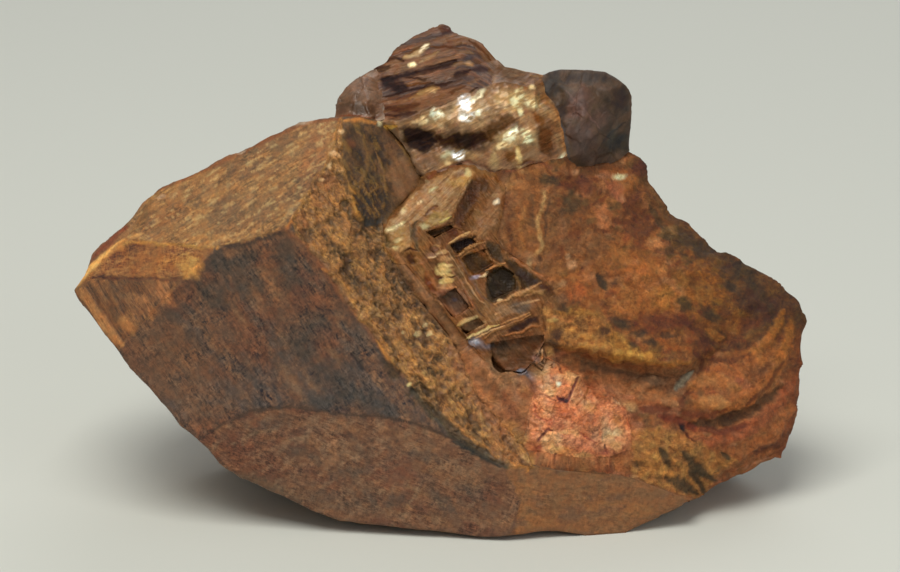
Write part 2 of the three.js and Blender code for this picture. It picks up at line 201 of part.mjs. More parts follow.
    [28,29,31],[31,29,33],[11,28,12],[12,28,32],[32,13,12],[21,29,30],[1,0,24],[24,2,1],[33,21,20],[19,33,20],[26,7,6],[5,26,6],[25,3,24],[25,24,30],
    [25,29,26],[30,29,25],[16,15,32],[16,32,31],[22,21,30],[24,23,22],[30,24,22],[4,26,5],[25,26,4],[4,3,25],[18,17,34],[34,17,16],[16,31,34],[34,19,18],
    [34,33,19],[31,33,34],
    ],
  },
  quartz_pale: {
    rim: 17,
    points: [
    [-11.52,16.6,-7.2],[-11.15,17.6,-7.8],[-10.77,18.5,-8.2],[-10.29,19.4,-8.6],[-9.8,19.9,-8.8],[-9.22,20.4,-9],[-8.63,20.7,-9.2],[-7.95,21.11,-9.5],
    [-7.27,21.01,-9.6],[-6.86,20.53,-9.4],[-7.03,19.51,-8.8],[-6.92,18.37,-8],[-6.71,17.17,-7],[-6.76,16.28,-5.4],[-7.54,16.59,-5.2],[-9.14,16.7,-5.6],
    [-10.52,16.73,-6.3],[-9.56,18.43,-6.6],[-8.39,19.12,-6.9],[-7.98,17.62,-5.8],
    ],
    faces: [
    [8,7,9],[15,17,16],[9,7,10],[3,17,4],[4,17,18],[4,18,5],[2,17,3],[13,12,14],[5,18,6],[10,7,6],[6,18,10],[16,17,1],[1,17,2],[1,0,16],[14,12,19],
    [19,15,14],[18,17,19],[19,17,15],[19,12,11],[10,18,11],[11,18,19],
    ],
  },
  feldspar_pink: {
    rim: 20,
    points: [
    [9.4,-7.17,-3.9],[10.08,-7.56,-4],[11.05,-8.05,-4.2],[12.23,-8.73,-4.6],[13.11,-9.91,-5],[14.38,-10.3,-5.2],[15.65,-10.79,-5.3],[16.91,-12.25,-5.2],
    [17.3,-13.99,-5.1],[17.39,-15.64,-5],[15.53,-16.3,-4.6],[13.87,-16.39,-4.2],[12.21,-16.48,-4],[9.97,-16.17,-3.7],[7.75,-15.78,-3.6],
    [7.55,-14.13,-3.5],[7.74,-12.58,-3.4],[8.03,-11.13,-3.3],[8.42,-9.77,-3.3],[8.91,-8.42,-3.5],[9.67,-8.89,-3],[10.64,-10.54,-3.1],[9.47,-11.79,-2.8],
    [9.18,-13.92,-2.9],[11.61,-14.9,-3.2],[12.09,-11.99,-3.1],[13.76,-11.24,-4],[14.53,-13.95,-3.9],[13.06,-13.45,-3.3],[15.81,-14.64,-4.3],
    ],
    faces: [
    [22,17,16],[23,25,22],[16,15,23],[23,22,16],[23,15,14],[7,6,27],[24,25,23],[18,17,22],[18,20,19],[10,27,11],[24,12,11],[28,25,24],[11,27,28],
    [28,24,11],[23,14,13],[24,23,13],[13,12,24],[4,25,26],[26,25,28],[27,6,26],[28,27,26],[26,6,5],[5,4,26],[18,22,21],[21,20,18],[22,25,21],[21,25,4],
    [4,3,21],[21,3,2],[2,20,21],[1,20,2],[1,0,19],[19,20,1],[7,27,29],[8,7,29],[29,27,10],[10,9,29],[29,9,8],
    ],
  },
  columbite_ladder: {
    rim: 38,
    points: [
    [-5.99,5.22,-2.9],[-5.71,6.19,-3.1],[-4.94,7.16,-3.5],[-4.07,8.14,-4],[-3.11,9.32,-4.6],[-2.23,10.11,-5.2],[-1.17,10.7,-5.7],[-0.1,11.1,-6],
    [1.17,11.4,-6.2],[2.53,11.3,-6.3],[3.9,10.72,-6.2],[5.16,9.74,-6],[5.06,8.08,-5.7],[4.67,6.42,-5.3],[4.27,4.95,-5],[4.86,3.5,-4.8],[6.21,2.62,-4.8],
    [7.77,1.55,-4.8],[9.42,0.19,-4.7],[9.9,-0.97,-4.5],[8.83,-1.65,-4.4],[8.53,-2.52,-4.2],[9.02,-3.88,-4.1],[9.01,-5.33,-4],[8.33,-6.88,-3.8],
    [7.17,-8.33,-3.6],[5.81,-8.81,-3.4],[4.64,-8.22,-3.3],[3.48,-7.06,-3.3],[2.32,-5.71,-3.2],[1.26,-4.35,-3.1],[0.19,-3,-3.1],[-0.87,-1.64,-3.1],
    [-1.93,-0.29,-3],[-3,1.06,-3],[-3.96,2.32,-2.9],[-5.22,2.9,-2.8],[-5.8,3.96,-2.8],[-4.35,4.93,-2.9],[-2.9,6.88,-3.7],[-0.97,8.83,-4.6],
    [0.97,9.82,-5.2],[-1.45,5.42,-3.6],[0,6.88,-4.1],[1.94,6.9,-5.2],[3.11,8.35,-5],[2.91,5.43,-4.6],[-1.93,3,-3.1],[-0.19,1.74,-3.2],[0.48,-0.39,-3.2],
    [2.71,2.33,-4],[4.36,-1.36,-3.7],[4.85,2.33,-4.2],[3.87,-3.29,-3.5],[6.78,-1.36,-4],[6.29,-5.23,-3.7],[5.33,-7.17,-3.6],
    ],
    faces: [
    [32,49,33],[29,53,30],[56,26,25],[25,24,56],[56,24,55],[28,53,29],[55,53,28],[56,55,28],[54,53,55],[52,15,50],[20,19,18],[54,20,18],[53,49,31],
    [30,53,31],[31,49,32],[27,26,56],[27,56,28],[55,24,23],[22,55,23],[51,53,54],[54,52,51],[51,52,50],[51,49,53],[50,49,51],[21,55,22],[54,55,21],
    [21,20,54],[17,52,54],[17,54,18],[39,3,2],[4,3,39],[47,35,34],[50,15,14],[10,9,45],[45,11,10],[12,11,45],[16,15,52],[16,52,17],[2,1,38],[39,2,38],
    [1,0,38],[38,0,37],[38,42,39],[47,42,38],[38,35,47],[38,37,36],[36,35,38],[40,5,4],[40,4,39],[6,5,40],[48,42,47],[48,49,50],[33,49,48],[34,33,48],
    [47,34,48],[13,12,45],[46,50,14],[46,14,13],[48,50,46],[46,42,48],[39,42,43],[40,39,43],[43,42,46],[41,9,8],[45,9,41],[8,7,41],[41,40,43],[41,7,6],
    [41,6,40],[43,46,44],[13,45,44],[46,13,44],[44,45,41],[41,43,44],
    ],
  },
};

// Dark cells in the ladder: outlines across/up (mm), four to six corners each.
const CELLS = [
    [-0.1,3.97,2.03,4.84,2.71,4.16,0.68,3.1],[1.06,2.81,3.58,3.68,4.26,2.32,2.23,1.06],[3.48,1.35,5.13,1.94,6.29,1.16,6.39,-0.29,4.16,-1.35,3.48,0.1],
    [-1.35,-0.87,0.48,-0.19,2.03,-2.03,0.87,-2.81],[3.77,-5.52,8.62,-4.74,8.03,-6.78,6.87,-7.94,4.84,-7.84],[1.26,-3.48,2.71,-3,3.39,-3.68,1.94,-4.36],
    [-2.32,5.23,0,6,0.39,5.61,-1.55,4.65],
];


// ---- helpers ----
const solidFrom = (vertices, triangles) => new wasm.Manifold(new wasm.Mesh({
  numProp: 3, vertProperties: new Float32Array(vertices.flat()), triVerts: new Uint32Array(triangles.flat()),
}));

// Repeatable number between -1 and 1 for the k-th point of ring r.
const wobble = (k, r) => {
  const s = Math.sin(k * 12.9898 + r * 78.233) * 43758.5453;
  return 2 * (s - Math.floor(s)) - 1;
};

// Outline moved inward by d (negative moves it outward), along mitred corners, counter-clockwise or clockwise.
const inset = (rim, d) => {
  let area = 0;
  rim.forEach(([x, y], i) => { const [a, b] = rim[(i + 1) % rim.length]; area += x * b - a * y; });
  const side = Math.sign(area);
  return rim.map((p, i) => {
    const a = rim[(i + rim.length - 1) % rim.length], b = rim[(i + 1) % rim.length];
    const e1 = new THREE.Vector2(p[0] - a[0], p[1] - a[1]).normalize();
    const e2 = new THREE.Vector2(b[0] - p[0], b[1] - p[1]).normalize();
    const n1 = new THREE.Vector2(-e1.y, e1.x).multiplyScalar(side), n2 = new THREE.Vector2(-e2.y, e2.x).multiplyScalar(side);
    const m = n1.clone().add(n2);
    if (m.length() < 1e-6) m.copy(n1); else m.normalize();
    const c = Math.max(0.5, m.dot(n1));
    const k = typeof d === 'function' ? d(i) : d;
    return [p[0] + m.x * k / c, p[1] + m.y * k / c];
  });
};

// A mineral: its front surface, walls through rings of (depth below the rim, inset, roughness), and a flat back.
const mineral = ({ rim, points, faces }, rings, back, fixed = () => false) => {
  const vertices = points.map((p) => [...p]);
  const triangles = faces.map((t) => [...t]);
  const edge = points.slice(0, rim);
  let above = edge.map((_, i) => i);
  const join = (lower) => {
    for (let i = 0; i < rim; i++) {
      const j = (i + 1) % rim;
      triangles.push([above[i], above[j], lower[j]], [above[i], lower[j], lower[i]]);
    }
    above = lower;
  };
  rings.forEach(([depth, shrink, rough], r) => {
    const outline = inset(edge, (i) => (fixed(edge[i]) ? 0.01 : shrink + rough * wobble(i, r)));
    const first = vertices.length;
    outline.forEach(([x, y], i) => vertices.push([x, y, edge[i][2] - depth * (1 + 0.15 * wobble(i, r + 7))]));
    join(outline.map((_, i) => first + i));
  });
  const first = vertices.length;
  const last = rings.length ? vertices.slice(first - rim) : edge;
  points.forEach((p, i) => vertices.push(i < rim ? [last[i][0], last[i][1], -back] : [p[0], p[1], -back]));
  join(edge.map((_, i) => first + i));
  faces.forEach(([a, b, c]) => triangles.push([first + a, first + c, first + b]));
  return solidFrom(vertices, triangles);
};

// Whether a rim point of one mineral lies against another mineral's rim, so that its wall runs straight back.
const rims = Object.entries(FACE).map(([name, f]) => [name, f.points.slice(0, f.rim)]);
const against = (name) => ([x, y]) => rims.some(([other, rim]) => other !== name && rim.some((p, i) => {
  const q = rim[(i + 1) % rim.length];
  const ex = q[0] - p[0], ey = q[1] - p[1];
  const t = THREE.MathUtils.clamp(((x - p[0]) * ex + (y - p[1]) * ey) / (ex * ex + ey * ey), 0, 1);
  return Math.hypot(x - p[0] - t * ex, y - p[1] - t * ey) < 0.7;
}));

// A straight-sided plug along the out direction, from an outline [x, y] between two depths.
const plug = (outline, top, bottom) => {
  const flat = outline.map(([x, y]) => new THREE.Vector2(x, y));
  if (THREE.ShapeUtils.isClockWise(flat)) flat.reverse();
  const caps = THREE.ShapeUtils.triangulateShape(flat, []);
  const n = flat.length;
  const vertices = [...flat.map((p) => [p.x, p.y, top]), ...flat.map((p) => [p.x, p.y, bottom])];
  const triangles = [];
  caps.forEach(([a, b, c]) => triangles.push([a, b, c], [a + n, c + n, b + n]));
  for (let i = 0; i < n; i++) { const j = (i + 1) % n; triangles.push([i, i + n, j + n], [i, j + n, j]); }
  return solidFrom(vertices, triangles);
};

// Keeps the side of a plane that its outward direction points away from; through = a point on the plane.
const trim = (solid, outward, through) => {
  const n = new THREE.Vector3(...outward).normalize();
  return solid.trimByPlane([-n.x, -n.y, -n.z], -n.dot(new THREE.Vector3(...through)));
};
const trimAll = (solid, planes) => planes.reduce((s, [n, p]) => trim(s, n, p), solid);

const lean = THREE.MathUtils.degToRad(LEAN_DEG);
const DOWN = [0, -Math.cos(lean), -Math.sin(lean)];
const onFloor = [0, FLOOR_LEVEL * Math.cos(lean), FLOOR_LEVEL * Math.sin(lean)];
const rest = (solid) => trim(solid, DOWN, onFloor);

// ---- columbite crystal: growth faces at the back are parallel to the ones at the front ----
const CRYSTAL_FACES = [
  [[0.12, 0.2, -0.97], [-14, 0, -CRYSTAL_BACK]],       // back face, parallel to the broad front face
  [[0.25, -0.5, -0.83], [-14, -14, -31]],              // lower back face
  [[-0.55, -0.25, -0.8], [-30, -2, -25]],              // left back face
  [[-0.3, 0.62, -0.72], [-18, 13, -25]],               // upper back face
  [[-0.62, 0.62, -0.3], [-30.5, 7, -20]],              // small bevel at the upper left
  [[-0.75, -0.6, -0.2], [-27.5, -11, -20]],            // small bevel at the lower left
];
const crystal = rest(trimAll(
  mineral(FACE.columbite_crystal, [[9, 0.25, 0.12], [20, 0.7, 0.2]], 48, against('columbite_crystal')),
  CRYSTAL_FACES,
));

// ---- rock: broken surfaces at the back and the right end ----
const ROCK_FACES = [
  [[0.05, 0.25, -0.96], [10, 0, -ROCK_BACK]],
  [[0.45, 0.3, -0.84], [24, 4, -28]],
  [[0.75, -0.15, -0.62], [30, -6, -25]],
  [[0.3, -0.5, -0.8], [18, -14, -30]],
  [[0.25, 0.78, -0.55], [16, 7.5, -25]],
  [[-0.25, 0.7, -0.65], [-2, 9, -25]],
  [[0.62, 0.72, -0.3], [28, 2, -22]],
];
const pocket = (outline, depth) => plug(inset(outline, -GAP), 5, -depth - GAP);
const rimOf = (f) => f.points.slice(0, f.rim);
const meanOut = (f) => f.points.reduce((s, p) => s + p[2], 0) / f.points.length;
const feldsparBottom = -meanOut(FACE.feldspar_pink) + FELDSPAR_DEPTH;
const ladderBottom = -meanOut(FACE.columbite_ladder) + LADDER_DEPTH;
const rock = rest(trimAll(
  mineral(FACE.matrix_rock, [[3, 0.1, 0.15], [8, 0.5, 0.35], [16, 1.1, 0.6]], 42, against('matrix_rock')),
  ROCK_FACES,
)).subtract(pocket(rimOf(FACE.feldspar_pink), feldsparBottom)).subtract(pocket(rimOf(FACE.columbite_ladder), ladderBottom));

// ---- grains let into the rock ----
const feldspar = mineral(FACE.feldspar_pink, [], feldsparBottom);
const ladder = CELLS.reduce((s, c) => {
  const outline = [];
  for (let i = 0; i < c.length; i += 2) outline.push([c[i], c[i + 1]]);
  const near = FACE.columbite_ladder.points.reduce((b, p) => {
    const d = Math.hypot(p[0] - outline[0][0], p[1] - outline[0][1]);
    return d < b[0] ? [d, p[2]] : b;
  }, [1e9, 0])[1];
  return s.subtract(plug(outline, 5, near - CELL_DEPTH - 0.6));
}, mineral(FACE.columbite_ladder, [], ladderBottom));

// ---- grains along the top ----
const mica = trimAll(mineral(FACE.mica_book, [[4, 0.2, 0.1]], MICA_BACK, against('mica_book')), [
  [[0, 0.35, -0.94], [0, 20, -19]],
  [[-0.5, 0.3, -0.8], [-5, 18, -17.5]],
]);
const smoky = trimAll(mineral(FACE.quartz_smoky, [[4, 0.2, 0.1]], QUARTZ_SMOKY_BACK, against('quartz_smoky')), [
  [[0.3, 0.5, -0.8], [15, 18, -22.5]],
  [[0.7, 0.1, -0.7], [16.5, 14, -22]],
  [[-0.5, 0.2, -0.85], [10, 16, -23]],
]);
const pale = trimAll(mineral(FACE.quartz_pale, [[4, 0.15, 0.08]], QUARTZ_PALE_BACK, against('quartz_pale')), [
  [[-0.3, 0.6, -0.7], [-9, 19, -17]],
]);

// ---- the specimen ----
const geometryFrom = (solid) => {
  const mesh = solid.getMesh();
  const g = new THREE.BufferGeometry();
  g.setAttribute('position', new THREE.BufferAttribute(new Float32Array(mesh.vertProperties), 3));
  g.setIndex(new THREE.BufferAttribute(new Uint32Array(mesh.triVerts), 1));
  const flat = g.toNonIndexed();
  flat.computeVertexNormals();
  return flat;
};
const part = (name, solid, color, roughness, metalness) => {
  const mesh = new THREE.Mesh(geometryFrom(solid), new THREE.MeshStandardMaterial({ color, roughness, metalness }));
  mesh.name = name;
  return mesh;
};

const specimen = new THREE.Group();
specimen.add(
  part('columbite_crystal', crystal, '#6b4a2c', 0.6, 0.15),
  part('matrix_rock', rock, '#8f5630', 0.85, 0),
  part('mica_book', mica, '#8a7350', 0.3, 0.35),
  part('quartz_smoky', smoky, '#4a413c', 0.25, 0),
  part('quartz_pale', pale, '#8d867c', 0.35, 0),
  part('feldspar_pink', feldspar, '#c77a55', 0.6, 0),
  part('columbite_ladder', ladder, '#7a5c3a', 0.45, 0.05),
);
specimen.rotation.x = Math.PI / 2 - lean;
specimen.position.set(-ORIGIN[0], -ORIGIN[1], -FLOOR_LEVEL);

export default specimen;
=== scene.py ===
import bpy, math
import numpy as np
from mathutils import Vector, Matrix
from mathutils.bvhtree import BVHTree


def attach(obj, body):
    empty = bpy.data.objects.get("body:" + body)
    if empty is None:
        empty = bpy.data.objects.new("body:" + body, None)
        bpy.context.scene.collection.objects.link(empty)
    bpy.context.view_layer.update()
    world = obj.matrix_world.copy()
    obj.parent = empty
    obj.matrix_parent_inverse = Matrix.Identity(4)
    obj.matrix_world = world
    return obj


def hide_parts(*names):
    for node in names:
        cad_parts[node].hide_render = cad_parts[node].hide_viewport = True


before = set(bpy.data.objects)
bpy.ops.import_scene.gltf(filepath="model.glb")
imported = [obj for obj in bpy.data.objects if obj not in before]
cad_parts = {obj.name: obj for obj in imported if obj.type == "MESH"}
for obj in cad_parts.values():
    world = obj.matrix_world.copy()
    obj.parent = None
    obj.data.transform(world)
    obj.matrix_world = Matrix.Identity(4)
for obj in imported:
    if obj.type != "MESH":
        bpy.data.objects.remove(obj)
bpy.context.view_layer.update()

# ------------------------------------------------------------------ the face frame (mm)
# across, up and out from the crystal's broad front face, which leans back 18 degrees; feature places below are given on
# that plane in steps of 0.096 mm from (450, 286) at its middle, x to the right and y downwards.
LEAN = math.radians(18)
RIGHT = np.array([1.0, 0, 0])
UP = np.array([0, math.sin(LEAN), math.cos(LEAN)])
OUT = np.array([0, -math.cos(LEAN), math.sin(LEAN)])
MID = np.array([0.645, -15.337, 25.15])
STEP, DIST, CX, CY = 0.096, 420.0, 450.0, 286.0

KEY = np.array([-100.0, -220.0, 520.0])  # middle of the key light (mm)
def _glint():
    """slope (out per across, out per up) of a surface in the middle that shines with the key light's reflection"""
    l = KEY - np.array([0, -5.0, 35.0]); l /= np.linalg.norm(l)
    h = l + OUT
    return np.array([-(h @ RIGHT) / (h @ OUT), -(h @ UP) / (h @ OUT)])
GLINT = _glint()

def to_face(p):
    q = p - MID
    w = q @ OUT
    k = (DIST - w) / DIST
    return CX + (q @ RIGHT) / (STEP * k), CY - (q @ UP) / (STEP * k), w

# ------------------------------------------------------------------ noise
def _hash(ix, iy, iz, seed):
    n = (ix * 374761393 + iy * 668265263 + iz * 1440662683 + seed * 1274126177) & 0xFFFFFFFF
    n = ((n ^ (n >> 13)) * 1274126177) & 0xFFFFFFFF
    n = ((n ^ (n >> 15)) * 2246822519) & 0xFFFFFFFF
    return ((n ^ (n >> 16)) & 0xFFFFFF) / 16777215.0

def noise(x, y, z=0.0, seed=0):
    """smooth value noise, -1 to 1"""
    x, y, z = np.broadcast_arrays(np.asarray(x, float), np.asarray(y, float), np.asarray(z, float))
    ix, iy, iz = np.floor(x).astype(np.int64), np.floor(y).astype(np.int64), np.floor(z).astype(np.int64)
    fx, fy, fz = x - ix, y - iy, z - iz
    fx, fy, fz = [t * t * t * (t * (t * 6 - 15) + 10) for t in (fx, fy, fz)]
    r = 0
    for dx in (0, 1):
        for dy in (0, 1):
            wxy = (fx if dx else 1 - fx) * (fy if dy else 1 - fy)
            if np.all(z == 0):
                r = r + wxy * _hash(ix + dx, iy + dy, iz, seed)
                continue
            for dz in (0, 1):
                r = r + wxy * (fz if dz else 1 - fz) * _hash(ix + dx, iy + dy, iz + dz, seed)
    return r * 2 - 1

def fbm(x, y, z=0.0, octaves=4, seed=0, gain=0.5, ridged=False):
    s, a, t = 0, 1.0, 0.0
    for o in range(octaves):
        n = noise(np.asarray(x) * 2**o, np.asarray(y) * 2**o, np.asarray(z) * 2**o, seed + 17 * o)
        if ridged:
            n = 1 - 2 * np.abs(n)
        s = s + a * n
        t += a
        a *= gain
    return s / t

def cells(x, y, z=None, seed=0, jitter=0.95):
    """distance to the nearest and second nearest scattered point, the nearest one's number, and the way to it"""
    ix, iy = np.floor(x).astype(np.int64), np.floor(y).astype(np.int64)
    f1 = np.full(x.shape, 9.0); f2 = np.full(x.shape, 9.0); cid = np.zeros(x.shape); ox = np.zeros(x.shape); oy = np.zeros(x.shape)
    zs = (0,) if z is None else (-1, 0, 1)
    iz = np.zeros_like(ix) if z is None else np.floor(z).astype(np.int64)
    for dx in (-1, 0, 1):
        for dy in (-1, 0, 1):
            for dz in zs:
                a, b, c = ix + dx, iy + dy, iz + dz
                px = a + 0.5 + jitter * (_hash(a, b, c, seed) - 0.5)
                py = b + 0.5 + jitter * (_hash(a, b, c, seed + 1) - 0.5)
                d = (px - x) ** 2 + (py - y) ** 2
                if z is not None:
                    pz = c + 0.5 + jitter * (_hash(a, b, c, seed + 2) - 0.5)
                    d = d + (pz - z) ** 2
                near = d < f1
                f2 = np.where(near, f1, np.minimum(f2, d))
                cid = np.where(near, _hash(a, b, c, seed + 3), cid); ox = np.where(near, px - x, ox); oy = np.where(near, py - y, oy)
                f1 = np.where(near, d, f1)
    return np.sqrt(f1), np.sqrt(f2), cid, ox, oy

def smooth(a, b, x):
    t = np.clip((x - a) / (b - a), 0, 1)
    return t * t * (3 - 2 * t)

def turned(x, y, deg, along, across):
    """coordinates along and across a direction (degrees, anticlockwise on the face), divided by the two lengths"""
    c, s = math.cos(math.radians(deg)), math.sin(math.radians(deg))
    return (x * c - y * s) / along, (x * s + y * c) / across

# ------------------------------------------------------------------ shapes on the face: areas and lines
def area(poly, x, y, margin=14.0):
    """signed distance to an outline, negative inside"""
    p = np.asarray(poly, float)
    out = np.full(x.shape, margin)
    sel = (x > p[:, 0].min() - margin) & (x < p[:, 0].max() + margin) & (y > p[:, 1].min() - margin) & (y < p[:, 1].max() + margin)
    if not sel.any():
        return out
    X, Y = x[sel], y[sel]
    d = np.full(X.shape, 1e9); inside = np.zeros(X.shape, bool)
    for (ax, ay), (bx, by) in zip(p, np.roll(p, -1, 0)):
        ex, ey = bx - ax, by - ay
        t = np.clip(((X - ax) * ex + (Y - ay) * ey) / (ex * ex + ey * ey + 1e-9), 0, 1)
        d = np.minimum(d, (X - ax - t * ex) ** 2 + (Y - ay - t * ey) ** 2)
        if ay != by:
            inside ^= ((ay > Y) != (by > Y)) & (X < (bx - ax) * (Y - ay) / (by - ay) + ax)
    d = np.sqrt(d)
    out[sel] = np.minimum(np.where(inside, -d, d), margin)
    return out

def line(pts, x, y, reach):
    """distance to a polyline and how far along it (0 to 1)"""
    p = np.asarray(pts, float)
    d = np.full(x.shape, reach * 1.0); s = np.zeros(x.shape)
    sel = (x > p[:, 0].min() - reach) & (x < p[:, 0].max() + reach) & (y > p[:, 1].min() - reach) & (y < p[:, 1].max() + reach)
    if not sel.any():
        return d, s
    X, Y = x[sel], y[sel]
    best = np.full(X.shape, 1e9); along = np.zeros(X.shape)
    L = np.concatenate([[0], np.cumsum(np.hypot(*np.diff(p, axis=0).T))])
    for i in range(len(p) - 1):
        ax, ay = p[i]; ex, ey = p[i + 1] - p[i]
        t = np.clip(((X - ax) * ex + (Y - ay) * ey) / (ex * ex + ey * ey + 1e-9), 0, 1)
        dd = (X - ax - t * ex) ** 2 + (Y - ay - t * ey) ** 2
        m = dd < best
        best = np.where(m, dd, best); along = np.where(m, (L[i] + t * (L[i + 1] - L[i])) / L[-1], along)
    d[sel] = np.minimum(np.sqrt(best), reach); s[sel] = along
    return d, s

GAIN = 1.45
def rgb(r, g, b):
    """surface colour of a shade as it looks from the front under this light"""
    c = np.array([r, g, b], float) / 255
    return np.minimum(np.where(c <= 0.04045, c / 12.92, ((c + 0.055) / 1.055) ** 2.4) * GAIN, 0.97)

def mix(c, col, m):
    return c + (col - c) * np.asarray(m)[..., None]

# ------------------------------------------------------------------ outlines on the front
CRYSTAL_A = [(126,239),(152,192),(170,182),(200,169),(220,158),(250,146),(280,130),(300,120),(341,114),(340,124),(337,135),(332,150),(325,165),(315,180),(305,198),(298,208),(292,219),(283,229),(262,236),(245,241),(218,247),(200,246),(175,245),(150,242)]
CRYSTAL_B = [(72,290),(80,283),(100,263),(118,243),(126,238),(150,242),(175,245),(218,247),(205,257),(195,267),(184,278),(160,278),(110,278),(90,279)]
CRYSTAL_C = [(70,291),(90,279),(184,278),(165,297),(150,315),(135,330),(116,352),(98,334)]
CRYSTAL_D = [(184,278),(195,267),(205,257),(218,247),(232,244),(245,241),(262,236),(283,229),(292,219),(297,234),(309,247),(328,272),(344,300),(363,322),(382,347),(404,376),(427,409),(454,435),(488,456),(503,466),(485,457),(455,440),(425,427),(390,418),(350,417),(310,410),(290,407),(250,411),(214,430),(198,446),(160,405),(116,352),(135,330),(150,315),(165,297)]
CRYSTAL_E = [(190,446),(214,430),(250,411),(290,407),(310,410),(350,417),(390,418),(425,427),(455,440),(485,457),(503,466),(520,500),(510,560),(400,560),(300,540),(220,485)]
CRYSTAL_X = [(503,466),(532,464),(560,470),(590,472),(615,474),(640,480),(660,488),(696,500),(710,540),(600,560),(500,560),(515,520),(520,500)]
CRYSTAL_F = [(341,114),(343,163),(349,181),(352,198),(354,216),(364,228),(381,223),(383,242),(392,258),(402,275),(413,290),(425,306),(437,321),(449,336),(463,358),(470,380),(478,398),(490,410),(505,425),(518,440),(526,452),(532,466),(503,466),(488,456),(454,435),(427,409),(404,376),(382,347),(363,322),(344,300),(328,272),(309,247),(297,234),(292,219),(298,208),(305,198),(315,180),(325,165),(332,150),(337,135)]
CRYSTAL_G = [(341,105),(372,105),(396,120),(414,148),(422,166),(426,178),(415,192),(404,205),(394,213),(383,223),(364,228),(354,216),(352,198),(349,181),(343,163)]
MICA_TOP = [(370,118),(372,60),(400,25),(443,10),(480,30),(500,50),(492,85),(478,91),(460,97),(445,104),(430,110),(415,115),(400,121)]
MICA_LOW = [(370,118),(400,121),(415,115),(430,110),(445,104),(460,97),(478,91),(492,85),(500,50),(530,60),(545,80),(552,100),(570,125),(575,172),(540,164),(512,172),(488,170),(472,162),(456,164),(429,178),(418,165),(405,140),(392,124)]
LADDER = [(384,232),(391,218),(408,200),(427,180),(449,168),(476,166),(503,180),(504,203),(498,235),(514,257),(548,283),(553,297),(541,305),(545,345),(524,375),(498,373),(474,346),(441,304),(409,263),(388,250)]
BAND = [(397,254),(405,267),(415,280),(426,296),(435,311),(446,327),(458,342)]
FELDSPAR = [(540,352),(560,362),(576,376),(585,388),(600,392),(613,398),(625,412),(629,430),(629,447),(610,456),(576,457),(530,450),(528,416),(533,387)]

# ------------------------------------------------------------------ surface values laid over a set of points
class Coat:
    """light and dark tint of the fine pattern, gloss (0 dull to 1 glassy), metal, net (0 streaks to 1 network), depth of the
    fine relief, flow (coordinates of the pattern) and rise (mm, outwards)"""
    def __init__(s, n, tint, dark):
        s.tint = np.tile(rgb(*tint), (n, 1)); s.dark = np.tile(rgb(*dark), (n, 1))
        s.gloss = np.full(n, 0.3); s.metal = np.zeros(n); s.net = np.zeros(n); s.depth = np.full(n, 0.5)
        s.rise = np.zeros(n); s.flow = np.zeros((n, 3))

    def lay(s, mask, tint=None, dark=None, gloss=None, metal=None, net=None, depth=None, rise=0.0, amount=1.0):
        i, m = mask
        if not len(i):
            return
        m = m * amount
        if tint is not None and dark is None:
            dark = [0.76 * c for c in tint]
        if tint is not None:
            s.tint[i] += (rgb(*tint) - s.tint[i]) * m[:, None]
        if dark is not None:
            s.dark[i] += (rgb(*dark) - s.dark[i]) * m[:, None]
        for name, val in (("gloss", gloss), ("metal", metal), ("net", net), ("depth", depth)):
            if val is not None:
                a = getattr(s, name); a[i] += (val - a[i]) * m
        if rise:
            s.rise[i] += rise * m

